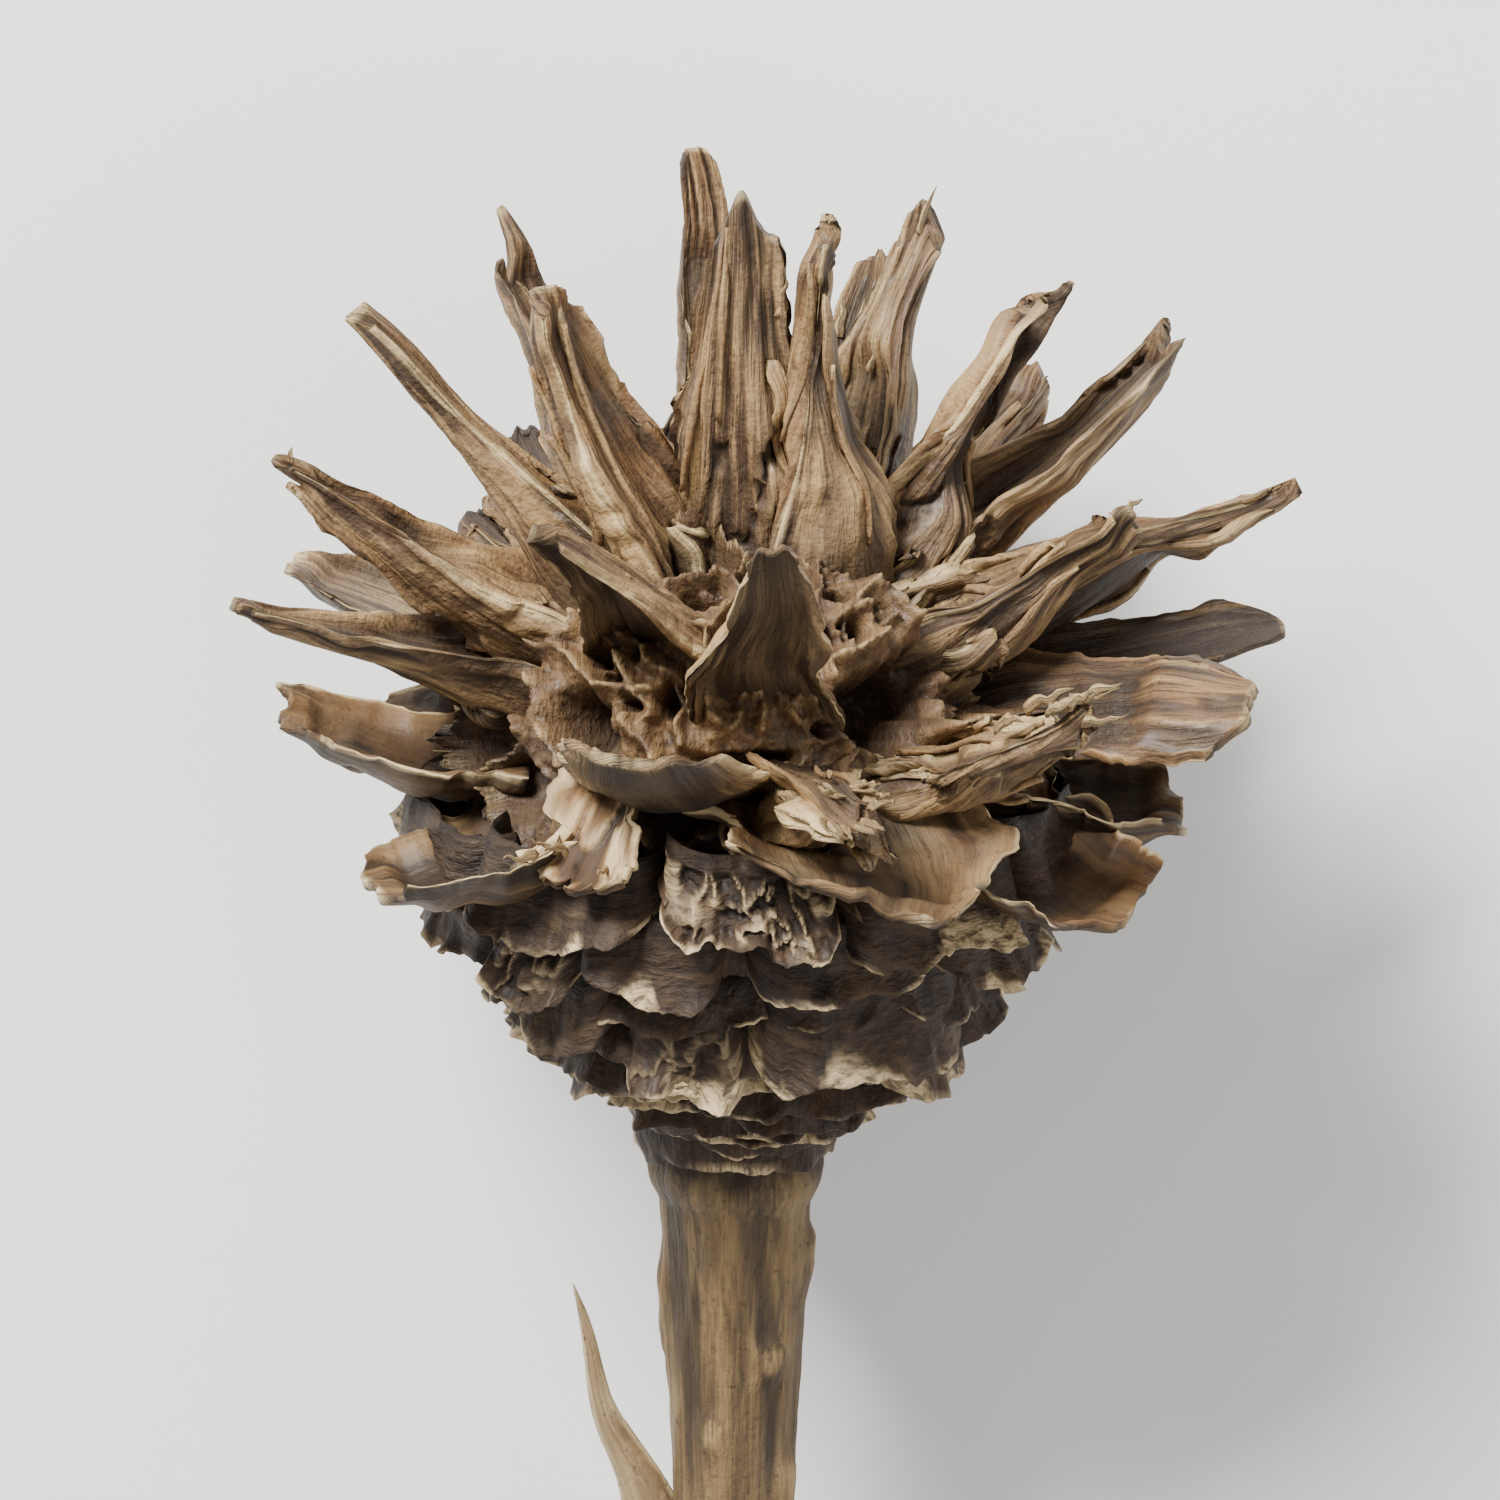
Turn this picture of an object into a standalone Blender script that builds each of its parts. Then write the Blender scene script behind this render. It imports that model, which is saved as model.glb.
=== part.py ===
"""A dried, waxed pincushion protea: one woody flower head on its cut stem, lying on a surface.

The flower is drawn in its own frame. The head's centre is at the origin, the flower grows along +Y
and its best side faces +Z. Places on the head are given as on a globe: a bearing round the axis,
0 at the best side and turning towards +X, and a latitude, 0 at the rim and 90 at the growing tip.
Every piece hangs on one empty, which is tipped and lifted until the flower lies on Z = 0.
"""

import math
from dataclasses import dataclass

import bmesh
import bpy
import numpy as np
from mathutils import Matrix, Vector

MM = 0.001
GAP = 0.3 * MM  # clearance between pieces that touch

# Receptacle: a dome that swells to a bowl, then draws in to the neck
DOME_RADIUS = 15.0 * MM
BOWL_RADIUS = 21.0 * MM
DOME_LATITUDE = 35.0  # the swelling starts below this latitude
BOWL_LATITUDE = -66.0  # and ends at this one
BOWL_RINGS = 16  # turned rings from the dome's top to there
NECK = ((7.6 * MM, 22.5 * MM), (6.6 * MM, 25.5 * MM), (5.6 * MM, 28.0 * MM))  # radius, depth
RECEPTACLE_SIDES = 32

# Stem: (distance below the head's centre, radius), from the collar to the cut end
STEM_TAPER = (
    (28.3 * MM, 5.7 * MM),
    (29.6 * MM, 6.4 * MM),
    (30.6 * MM, 6.2 * MM),
    (32.0 * MM, 5.3 * MM),
    (40.0 * MM, 4.9 * MM),
    (52.0 * MM, 4.2 * MM),
    (66.0 * MM, 4.4 * MM),
    (82.0 * MM, 4.0 * MM),
    (100.0 * MM, 4.1 * MM),
    (116.0 * MM, 3.8 * MM),
    (133.0 * MM, 3.9 * MM),
    (148.0 * MM, 4.1 * MM),
)
STEM_BOW = 3.5 * MM  # how far the cut end has wandered sideways
STEM_ROUNDNESS = 6  # bevel resolution, which gives 16 sides

# Stem leaf: where it leaves the stem and where its point ends
LEAF_ROOT = Vector((-5.7, -60.0, 0.6)) * MM
LEAF_TIP = Vector((-11.2, -38.0, 1.6)) * MM
LEAF_FACE = Vector((0.3, 0.0, 1.0))  # the way its curled side looks
LEAF_ROOT_WIDTH, LEAF_TIP_WIDTH, LEAF_BELLY, LEAF_CUP = 1.6 * MM, 0.8 * MM, 2.2 * MM, 0.5 * MM

CROWN_THICKNESS = 2.1 * MM  # at the root
SCALE_THICKNESS = 1.6 * MM
LEAF_THICKNESS = 0.9 * MM
TIP_THINNESS = 0.45  # a tip's thickness as a share of its root's
ACROSS, ALONG = 4, 6  # faces across and along a bract


@dataclass
class Bract:
    """One woody bract, from its root on the receptacle to its broken tip."""

    bearing: float  # of the tip, degrees
    latitude: float  # of the tip, degrees
    reach: float  # of the tip from the head's centre, millimetres
    root_width: float  # millimetres
    tip_width: float  # millimetres
    belly: float = 1.8  # how much wider than a straight taper it is halfway, millimetres
    cup: float = 0.6  # how far its edges curl towards the growing tip, millimetres
    bend: float = 0.8  # how far its middle sags towards the stem, millimetres
    root_bearing: float = None
    root_latitude: float = None


# The splintered spikes, from the growing tip down to the rim
CROWN = (
    Bract(-165, 70, 40.5, 4.8, 3.2, belly=0.8, bend=-0.6, root_bearing=-157, root_latitude=69),
    Bract(0, 86, 39.5, 6.6, 6.8, belly=1.0, cup=0.4),
    Bract(60, 80, 38.0, 4.2, 4.4, bend=0.2, root_bearing=85, root_latitude=67),
    Bract(135, 63, 39.0, 4.6, 3.4, root_bearing=128, root_latitude=60),
    Bract(100, 55, 38.5, 6.0, 4.2, root_bearing=98, root_latitude=50),
    Bract(-64, 67, 37.5, 6.0, 4.6),
    Bract(-126, 58, 40.0, 6.0, 4.4),
    Bract(-90, 50, 40.0, 5.0, 2.6, bend=1.6),
    Bract(-165, 50, 25.0, 5.8, 4.4, bend=0.3),
    Bract(157, 46, 38.5, 5.8, 2.8),
    Bract(4, 40, 39.5, 5.6, 1.6, belly=0.8),
    Bract(-27, 39, 37.5, 6.2, 1.8, belly=0.8),
    Bract(-75, 36, 39.5, 5.8, 2.4),
    Bract(107, 40, 40.5, 5.4, 3.0),
    Bract(76, 34, 33.0, 4.6, 3.2),
    Bract(-117, 34, 27.0, 6.0, 4.4, bend=0.3),
    Bract(-148, 30, 38.0, 6.2, 2.6),
    Bract(178, 27, 36.5, 6.4, 3.0),
    Bract(140, 31, 37.5, 6.0, 2.6),
    Bract(99, 23, 41.5, 6.6, 1.6, belly=1.2),
    Bract(97, 11, 37.5, 5.6, 5.2, belly=1.0),
    Bract(72, 12, 36.0, 6.0, 7.4, belly=1.6, cup=1.2),
    Bract(45, 19, 35.0, 6.0, 4.6),
    Bract(14, 12, 33.0, 5.6, 6.0, belly=1.0),
    Bract(-14, 16, 29.0, 6.6, 10.0, belly=2.0, cup=1.4),
    Bract(-70, 22, 38.5, 7.4, 2.8, belly=1.2),
    Bract(-105, 18, 33.0, 6.4, 6.6, belly=1.2, cup=1.0),
    Bract(-130, 14, 35.5, 6.2, 4.0),
    Bract(-154, 14, 38.0, 6.4, 4.0),
    Bract(154, 14, 38.0, 6.4, 4.0),
    Bract(127, 14, 36.0, 6.0, 3.8),
    Bract(180, 8, 31.5, 6.4, 5.0),
)

# The broad, cupped bracts at the rim
RIM = (
    Bract(-84, 6, 31.5, 7.4, 8.0, belly=1.6, cup=1.4),
    Bract(-43, 3, 28.5, 9.0, 11.5, belly=2.0, cup=2.0),
    Bract(19, 1, 29.5, 9.0, 11.0, belly=3.0, cup=1.8),
    Bract(59, -7, 30.5, 8.0, 9.0, belly=1.6, cup=1.2),
    Bract(88, -7, 30.5, 7.4, 7.0, belly=1.6, cup=1.2),
    Bract(117, -3, 30.0, 7.6, 7.0, belly=1.6, cup=1.2),
    Bract(145, -5, 29.5, 7.6, 8.0, belly=1.6, cup=1.2),
    Bract(171, -6, 28.5, 6.6, 7.0, belly=1.2, cup=1.2),
    Bract(-163, -4, 29.0, 6.6, 7.4, belly=1.2, cup=1.2),
    Bract(-137, -5, 29.5, 7.2, 7.6, belly=1.4, cup=1.2),
    Bract(-110, -3, 30.0, 7.2, 8.0, belly=1.4, cup=1.2),
    Bract(-12, 1, 26.5, 6.4, 6.0, belly=1.0, cup=1.0),
)
RIM_ROOT_DROP = 8.0  # degrees from a rim bract's tip down to its root

# The row of broken scales under the rim
UPPER_SCALES = 10
UPPER_SCALE = Bract(0, -18, 25.4, 8.6, 9.4, belly=1.2, cup=1.2, bend=1.0)
UPPER_SCALE_ROOT_DROP = 12.0
UPPER_SCALE_FIRST = 3.0  # bearing of the first one

# The rings of small scales: (latitude of the root, of the mean tip, reach of the tip, scales)
SCALE_RINGS = ((-45, -35, 24.4, 9), (-56, -47, 24.8, 9), (-66, -58, 25.4, 8))
RING_LOBE = 2.6  # degrees that a lobe's tip stands above the mean
RING_FACES_PER_SCALE = 6
RING_THICKNESS = 1.1 * MM

MOST_TILT = math.radians(30)  # the flower never lies steeper than this
TILT_HALVINGS = 40  # bisection steps to the tilt it lies at

WOOD = (0.35, 0.24, 0.13)
DARK_WOOD = (0.16, 0.11, 0.07)
BARK = (0.22, 0.17, 0.09)
STRAW = (0.42, 0.32, 0.18)


def on_globe(bearing, latitude, radius):
    """The point at a bearing, a latitude and a distance from the head's centre."""
    b, a = math.radians(bearing), math.radians(latitude)
    return Vector((math.cos(a) * math.sin(b), math.sin(a), math.cos(a) * math.cos(b))) * radius


def northward(bearing, latitude):
    """The direction on the globe from a place to the growing tip."""
    b, a = math.radians(bearing), math.radians(latitude)
    return Vector((-math.sin(a) * math.sin(b), math.cos(a), -math.sin(a) * math.cos(b)))


def receptacle_radius(latitude):
    """The receptacle's surface: the dome's radius, eased out to the bowl's."""
    t = (DOME_LATITUDE - latitude) / (DOME_LATITUDE - BOWL_LATITUDE)
    t = min(max(t, 0.0), 1.0)
    return DOME_RADIUS + (BOWL_RADIUS - DOME_RADIUS) * t * t * (3 - 2 * t)


def material(name, colour, roughness):
    """A waxed, dry plant surface."""
    mat = bpy.data.materials.new(name)
    mat.use_nodes = True
    shader = mat.node_tree.nodes["Principled BSDF"]
    shader.inputs["Base Color"].default_value = (*colour, 1.0)
    shader.inputs["Roughness"].default_value = roughness
    shader.inputs["Metallic"].default_value = 0.0
    return mat


def add_piece(name, data, colour, roughness=0.5):
    """An object of the flower, with its own material, on the empty that lays the flower down."""
    data.materials.append(material(name, colour, roughness))
    piece = bpy.data.objects.new(name, data)
    bpy.data.collections["pincushion_protea"].objects.link(piece)
    piece.parent = bpy.data.objects["lying_down"]
    return piece


def thicken(piece, thickness):
    """Turn an open sheet into a closed solid."""
    solid = piece.modifiers.new("thickness", "SOLIDIFY")
    solid.thickness = thickness
    solid.offset = 0.0
    return solid


def thicken_blade(piece, thickness):
    """Turn a blade's sheet into a solid that thins towards its tip."""
    corners = piece.data.vertices
    length = max(vert.co.y for vert in corners)
    group = piece.vertex_groups.new(name="towards_root")
    for vert in corners:
        group.add([vert.index], 1 - vert.co.y / length, "REPLACE")
    solid = thicken(piece, thickness)
    solid.vertex_group = group.name
    solid.thickness_vertex_group = TIP_THINNESS


def blade(name, length, root_width, tip_width, belly, cup, bend):
    """A sheet along +Y from the origin: tapered, bellied, its edges curled to +Z, its middle sagging."""
    bm = bmesh.new()
    bmesh.ops.create_grid(bm, x_segments=ACROSS, y_segments=ALONG, size=1.0)
    for vert in bm.verts:
        across, along = vert.co.x, (vert.co.y + 1) / 2
        hump = 4 * along * (1 - along)
        half = (root_width + (tip_width - root_width) * along + belly * hump) / 2
        curl = cup * across * across * math.sqrt(along)
        vert.co = (across * half, along * length, curl - bend * hump)
    mesh = bpy.data.meshes.new(name)
    bm.to_mesh(mesh)
    bm.free()
    return mesh


def blade_axes(root, tip, upper_side):
    """A blade's own axes: across it, along it to its tip, and out of its curled side."""
    along = (tip - root).normalized()
    across = along.cross(upper_side).normalized()
    return across, along, across.cross(along)


def place_blade(piece, root, tip, upper_side):
    """Stand a blade on its root, pointing to its tip, its curled side turned to upper_side."""
    turn = Matrix(blade_axes(root, tip, upper_side)).transposed()
    piece.matrix_basis = Matrix.Translation(root) @ turn.to_4x4()


def add_bract(name, bract, colour, thickness, root_drop=0.0):
    """A bract whose root stands on the receptacle, clear of it by the gap."""
    bearing = bract.bearing if bract.root_bearing is None else bract.root_bearing
    latitude = bract.latitude if bract.root_latitude is None else bract.root_latitude
    latitude -= root_drop
    outward = on_globe(bearing, latitude, 1.0)
    tip = on_globe(bract.bearing, bract.latitude, bract.reach * MM)
    upper_side = northward(bract.bearing, bract.latitude)
    across, _, face = blade_axes(outward * receptacle_radius(latitude), tip, upper_side)
    dip = bract.root_width * MM / 2 * abs(across.dot(outward)) + thickness * abs(face.dot(outward))
    root = outward * (receptacle_radius(latitude) + 2 * GAP + dip)
    sizes = (bract.root_width, bract.tip_width, bract.belly, bract.cup, bract.bend)
    mesh = blade(name, (tip - root).length, *(size * MM for size in sizes))
    piece = add_piece(name, mesh, colour)
    place_blade(piece, root, tip, upper_side)
    thicken_blade(piece, thickness)
    return piece


def add_receptacle():
    """Dome, bowl and neck, turned about the axis from one half profile."""
    profile = [(0.0, DOME_RADIUS)]
    for ring in range(1, BOWL_RINGS + 1):
        latitude = 90 + (BOWL_LATITUDE - 90) * ring / BOWL_RINGS
        angle, radius = math.radians(latitude), receptacle_radius(latitude)
        profile.append((radius * math.cos(angle), radius * math.sin(angle)))
    profile += [(radius, -depth) for radius, depth in NECK]
    profile.append((0.0, -NECK[-1][1]))
    mesh = bpy.data.meshes.new("receptacle")
    edges = [(i, i + 1) for i in range(len(profile) - 1)]
    mesh.from_pydata([(r, y, 0.0) for r, y in profile], edges, [])
    piece = add_piece("receptacle", mesh, DARK_WOOD, 0.6)
    turn = piece.modifiers.new("turn", "SCREW")
    turn.axis = "Y"
    turn.steps = turn.render_steps = RECEPTACLE_SIDES
    turn.use_merge_vertices = True
    turn.merge_threshold = 0.01 * MM
    turn.use_normal_calculate = True
    return piece


def stem_centre(depth):
    """The stem's centreline at a distance below the head's centre: straight, then a slow bow."""
    start, end = STEM_TAPER[0][0], STEM_TAPER[-1][0]
    t = (depth - start) / (end - start)
    return Vector((-STEM_BOW * t * t, -depth, 0.0))


def add_stem():
    """A round rod with the collar at its head end and a plain cut at the other."""
    curve = bpy.data.curves.new("stem", "CURVE")
    curve.dimensions = "3D"
    curve.bevel_depth = 1.0
    curve.bevel_resolution = STEM_ROUNDNESS
    curve.use_fill_caps = True
    spline = curve.splines.new("POLY")
    spline.points.add(len(STEM_TAPER) - 1)
    for point, (depth, radius) in zip(spline.points, STEM_TAPER):
        point.co = (*stem_centre(depth), 1.0)
        point.radius = radius
    return add_piece("stem", curve, BARK, 0.5)


def add_leaf():
    """The one narrow leaf that is left on the stem."""
    sizes = (LEAF_ROOT_WIDTH, LEAF_TIP_WIDTH, LEAF_BELLY, LEAF_CUP)
    mesh = blade("stem_leaf", (LEAF_TIP - LEAF_ROOT).length, *sizes, bend=0.0)
    piece = add_piece("stem_leaf", mesh, STRAW)
    place_blade(piece, LEAF_ROOT, LEAF_TIP, LEAF_FACE)
    thicken_blade(piece, LEAF_THICKNESS)
    return piece


def add_scale_ring(name, root_latitude, tip_latitude, reach, scales):
    """A flared ring of small scales grown together at their roots, its rim in lobes."""
    sides = scales * RING_FACES_PER_SCALE
    root_radius = receptacle_radius(root_latitude) + RING_THICKNESS / 2 + GAP
    bm = bmesh.new()
    bmesh.ops.create_cone(bm, segments=sides, radius1=1.0, radius2=1.0, depth=2.0)
    for vert in bm.verts:
        bearing = math.degrees(math.atan2(vert.co.x, vert.co.y))
        lobe = RING_LOBE * math.cos(math.radians(bearing * scales))
        if vert.co.z > 0:
            vert.co = on_globe(bearing, tip_latitude + lobe, reach * MM)
        else:
            vert.co = on_globe(bearing, root_latitude, root_radius)
    bmesh.ops.recalc_face_normals(bm, faces=bm.faces)
    mesh = bpy.data.meshes.new(name)
    bm.to_mesh(mesh)
    bm.free()
    piece = add_piece(name, mesh, DARK_WOOD, 0.55)
    thicken(piece, RING_THICKNESS)
    return piece


def add_head():
    """Receptacle, crown, rim and scales."""
    add_receptacle()
    for number, bract in enumerate(CROWN, 1):
        add_bract(f"crown_bract_{number:02d}", bract, WOOD, CROWN_THICKNESS)
    for number, bract in enumerate(RIM, 1):
        add_bract(f"rim_bract_{number:02d}", bract, WOOD, SCALE_THICKNESS, RIM_ROOT_DROP)
    for number in range(UPPER_SCALES):
        bearing = UPPER_SCALE_FIRST + 360 * number / UPPER_SCALES
        scale = Bract(**{**vars(UPPER_SCALE), "bearing": bearing})
        name = f"upper_scale_{number + 1:02d}"
        add_bract(name, scale, DARK_WOOD, SCALE_THICKNESS, UPPER_SCALE_ROOT_DROP)
    for letter, ring in zip("abc", SCALE_RINGS):
        add_scale_ring(f"lower_scales_{letter}", *ring)


def points_of(piece):
    """The corners of a piece as it stands, in the flower's frame."""
    seen = piece.evaluated_get(bpy.context.evaluated_depsgraph_get())
    mesh = seen.to_mesh()
    points = np.array([seen.matrix_world @ vert.co for vert in mesh.vertices])
    seen.to_mesh_clear()
    return points


def heights(points, tilt):
    """How high points lie once the growing tip is raised by tilt."""
    return points[:, 2] * math.cos(tilt) + points[:, 1] * math.sin(tilt)


def lay_down():
    """Raise the growing tip until the head and the stem's end lie on one plane, and put it at Z = 0."""
    bpy.context.view_layer.update()
    holder = bpy.data.objects["lying_down"]
    stem = points_of(bpy.data.objects["stem"])
    rest = [points_of(piece) for piece in holder.children if piece.name != "stem"]
    head = np.concatenate(rest)
    low, high = 0.0, MOST_TILT
    for _ in range(TILT_HALVINGS):
        tilt = (low + high) / 2
        if heights(head, tilt).min() < heights(stem, tilt).min():
            low = tilt
        else:
            high = tilt
    everything = np.concatenate([head, stem])
    y = everything[:, 1] * math.cos(tilt) - everything[:, 2] * math.sin(tilt)
    x, z = everything[:, 0], heights(everything, tilt)
    holder.rotation_euler = (tilt, 0.0, 0.0)
    holder.location = (-(x.min() + x.max()) / 2, -(y.min() + y.max()) / 2, -z.min())


def main():
    for old in list(bpy.data.objects):
        bpy.data.objects.remove(old, do_unlink=True)
    collection = bpy.data.collections.new("pincushion_protea")
    bpy.context.scene.collection.children.link(collection)
    collection.objects.link(bpy.data.objects.new("lying_down", None))
    add_stem()
    add_leaf()
    add_head()
    lay_down()


if __name__ == "__main__":
    main()
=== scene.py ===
import math
from dataclasses import dataclass, replace
from itertools import product

import bpy
import numpy as np
from bpy.props import FloatProperty, FloatVectorProperty, PointerProperty
from mathutils import Matrix, Vector


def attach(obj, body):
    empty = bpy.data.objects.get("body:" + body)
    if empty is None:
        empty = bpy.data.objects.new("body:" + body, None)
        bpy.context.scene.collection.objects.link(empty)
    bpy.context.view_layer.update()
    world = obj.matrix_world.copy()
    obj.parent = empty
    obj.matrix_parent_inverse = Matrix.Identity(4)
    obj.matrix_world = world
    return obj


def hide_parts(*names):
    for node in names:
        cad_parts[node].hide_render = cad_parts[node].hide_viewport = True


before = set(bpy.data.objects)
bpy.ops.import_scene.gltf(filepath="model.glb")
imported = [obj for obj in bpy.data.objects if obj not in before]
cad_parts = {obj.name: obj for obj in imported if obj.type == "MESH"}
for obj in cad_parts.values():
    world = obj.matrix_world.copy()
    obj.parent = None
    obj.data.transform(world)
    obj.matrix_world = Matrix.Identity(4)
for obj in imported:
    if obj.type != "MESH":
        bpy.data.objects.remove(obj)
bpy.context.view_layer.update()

bl_info = {
    "name": "Waxed pincushion protea",
    "version": (1, 0, 0),
    "blender": (4, 5, 0),
    "location": "3D View > Sidebar > Protea",
    "description": "Dresses a dried, waxed protea head: split bracts, torn scales, pitted receptacle, stem",
    "category": "Add Mesh",
}

# Shapes are worked out in the head's own frame, in millimetres: +Y towards the growing tip, +Z out of
# the best side, +X to its right, the head's centre at the origin. Places on the head are given by a
# bearing round the axis, 0 at the best side and turning towards +X, and a latitude, 90 at the tip.

MM = 0.001
DOME_RADIUS = 15.0  # from the head's centre to the receptacle's top, as its solid is turned
GOLDEN_ANGLE = 180 * (3 - math.sqrt(5))
PITS = 76  # on the dome and the bowl
BOWL_RADIUS = 21.2  # of the receptacle's bowl under the scales
DOME_FLOOR = 14.4  # from the head's centre to the dome's floor, from which the pits dip
BOWL_SWELL = 7.2  # how much farther out the bowl's floor stands
BEST_FLOOR = 18.3  # and how far out the floor between the listed hollows
STEM_RADIUS = 4.4  # about, to measure across the leaf scars
STEM_TOP = 25.0  # depth below the head's centre at which the stem begins
STUMP_FOOT = 13.5  # from the head's centre to the foot of a bract's torn stubs
FLOOR_CLEARANCE = 0.04 * MM  # in metres, between every point and the floor
SEED_STEP = 97  # from one bract's or scale's seed to the next one's


# ---------------------------------------------------------------- numbers that look random


def lattice(ix, iy, iz, seed):
    """A repeatable number from 0 to 1 for each whole-numbered place: its coordinates, hashed."""
    n = (ix * 73856093 ^ iy * 19349663 ^ iz * 83492791 ^ seed * 265443576) & 0xFFFFFFFF
    for _ in range(2):
        n = ((n ^ (n >> 16)) * 0x45D9F3B) & 0xFFFFFFFF
    return ((n ^ (n >> 16)) & 0xFFFFFF) / 0xFFFFFF


def noise(x, y=0.0, z=0.0, seed=0):
    """Value noise from -1 to 1: lattice numbers, eased from corner to corner by 3t^2 - 2t^3."""
    places = np.broadcast_arrays(*(np.asarray(c, float) for c in (x, y, z)))
    whole = [np.floor(c).astype(np.int64) for c in places]
    eased = [(c - w) ** 2 * (3 - 2 * (c - w)) for c, w in zip(places, whole)]
    total = 0.0
    for corner in product((0, 1), repeat=3):
        weight = 1.0
        for step, e in zip(corner, eased):
            weight = weight * (e if step else 1 - e)
        total = total + weight * lattice(*(w + step for w, step in zip(whole, corner)), seed)
    return 2 * total - 1


def layered(x, y=0.0, z=0.0, seed=0, layers=3):
    """Noise on noise: each layer is twice as fine as the one before and half as strong."""
    return sum(noise(x * 2**k, y * 2**k, z * 2**k, seed + k) / 2**k for k in range(layers))


def ridged(x, y=0.0, z=0.0, seed=0):
    """Sharp crests from 0 to 1 where the noise crosses nought: 1 - |noise|, squared."""
    return (1 - np.abs(noise(x, y, z, seed))) ** 2


def smooth(low, high, value):
    """Eased step: 0 under low, 1 over high, 3t^2 - 2t^3 between."""
    t = np.clip((value - low) / (high - low), 0.0, 1.0)
    return t * t * (3 - 2 * t)


def through(values, along):
    """A smooth line (Catmull-Rom) through values spaced evenly from along = 0 to along = 1."""
    padded = np.array([values[0], *values, values[-1]], float)
    place = np.clip(along, 0, 1) * (len(values) - 1)
    first = np.minimum(np.floor(place).astype(int), len(values) - 2)
    t = place - first
    a, b, c, d = (padded[first + k] for k in range(4))
    return b + 0.5 * t * (c - a + t * (2 * a - 5 * b + 4 * c - d + t * (3 * (b - c) + d - a)))


# ---------------------------------------------------------------- places on the flower


def corners(node):
    """The corner points of a node's solid, in metres, one in each row."""
    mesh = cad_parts[node].data
    flat = np.empty(len(mesh.vertices) * 3)
    mesh.vertices.foreach_get("co", flat)
    return flat.reshape(-1, 3)


def head_frame():
    """The head's centre and the rows +X, +Y, +Z of its frame, found from the turned receptacle.

    A turned solid's corners spread equally all round its axis, so the axis is the principal direction
    that lies along the flower. The centre is the dome's radius below the top.
    """
    points = corners("receptacle")
    middle = points.mean(0)
    _, directions = np.linalg.eigh(np.cov((points - middle).T))
    axis = directions[:, np.abs(directions[1]).argmax()]
    axis = axis * np.sign(axis[1])
    top = ((points - middle) @ axis).max()
    right = np.array([1.0, 0.0, 0.0])
    return middle + axis * (top - DOME_RADIUS * MM), np.array([right, axis, np.cross(right, axis)])


HEAD_CENTRE, HEAD_AXES = head_frame()


def to_world(points):
    """From the head's frame in millimetres to the row's in metres, and never through the floor."""
    world = HEAD_CENTRE + points * MM @ HEAD_AXES
    world[:, 2] = np.maximum(world[:, 2], FLOOR_CLEARANCE)
    return world


def to_head(points):
    """From the row's frame in metres to the head's in millimetres."""
    return (points - HEAD_CENTRE) @ HEAD_AXES.T / MM


def outward(bearing, latitude):
    """Unit direction from the head's centre, from a bearing and a latitude in degrees."""
    b, a = np.radians(bearing), np.radians(latitude)
    return np.stack([np.cos(a) * np.sin(b), np.sin(a) + 0 * b, np.cos(a) * np.cos(b)], -1)


def unit(vector):
    """A vector, or each of several, divided by its length."""
    return vector / np.linalg.norm(vector, axis=-1, keepdims=True)


def tipward(direction):
    """The direction on the globe from a place to the growing tip, at right angles to direction."""
    direction = unit(direction)
    return unit(np.array([0.0, 1.0, 0.0]) - direction * direction[1])


@dataclass
class Blade:
    """Where one bract stands: its root, its tip, and the direction across it, to its right."""

    root: np.ndarray
    tip: np.ndarray
    across: np.ndarray


END_SHARE = 0.13  # share of a solid's corners that make up one of its ends


def blade_of(node):
    """A bract's place, read from its solid.

    Its root is the middle of the corners nearest the head's centre, and its tip of those farthest out.
    The root's long side gives the direction across.
    """
    points = to_head(corners(node))
    away = np.linalg.norm(points, axis=1)
    near = points[away < np.quantile(away, END_SHARE)]
    far = points[away > np.quantile(away, 1 - END_SHARE)]
    along = unit(far.mean(0) - near.mean(0))
    reach = points @ along
    low, high = reach.min(), reach.max()
    near, far = (points[np.abs(reach - end) < 0.06 * (high - low)] for end in (low, high))
    _, sides = np.linalg.eigh(np.cov(near.T))
    root, tip = near.mean(0), far.mean(0)
    along = unit(tip - root)
    across = unit(sides[:, -1] - along * (sides[:, -1] @ along))
    return Blade(root, tip, across * np.sign(np.cross(along, across) @ tipward(tip)))


# ---------------------------------------------------------------- patches and pieces


@dataclass
class Patch:
    """A closed surface: points, faces, and at each point what the finishes read."""

    points: np.ndarray  # in the head's frame, millimetres
    quads: np.ndarray
    triangles: np.ndarray
    grain: np.ndarray  # place across and along the fibres, millimetres
    wear_and_shade: np.ndarray  # torn edge; hollow, which on the stem also carries a painted shadow; crest, whose grooves are painted as shade
    tone: np.ndarray  # warmth; painted light, low where shade is painted, mostly the distance out of the head; upper side


def join(patches):
    """Several closed surfaces as one, the faces of each turned outward."""
    starts = np.cumsum([0] + [len(p.points) for p in patches[:-1]])
    faces = [facing_out(p.points, p.quads, p.triangles) for p in patches]
    return Patch(
        np.concatenate([p.points for p in patches]),
        np.concatenate([quads + start for (quads, _), start in zip(faces, starts)]),
        np.concatenate([triangles + start for (_, triangles), start in zip(faces, starts)]),
        *(np.concatenate([getattr(p, k) for p in patches]) for k in ("grain", "wear_and_shade", "tone")),
    )


def facing_out(points, quads, triangles):
    """The same faces, turned over if the volume that they enclose comes out negative."""
    split = np.concatenate([quads[:, [0, 1, 2]], quads[:, [0, 2, 3]], triangles])
    a, b, c = (points[split[:, k]] for k in range(3))
    if np.einsum("ij,ij->", a, np.cross(b, c)) < 0:
        return quads[:, ::-1], triangles[:, ::-1]
    return quads, triangles


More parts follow.
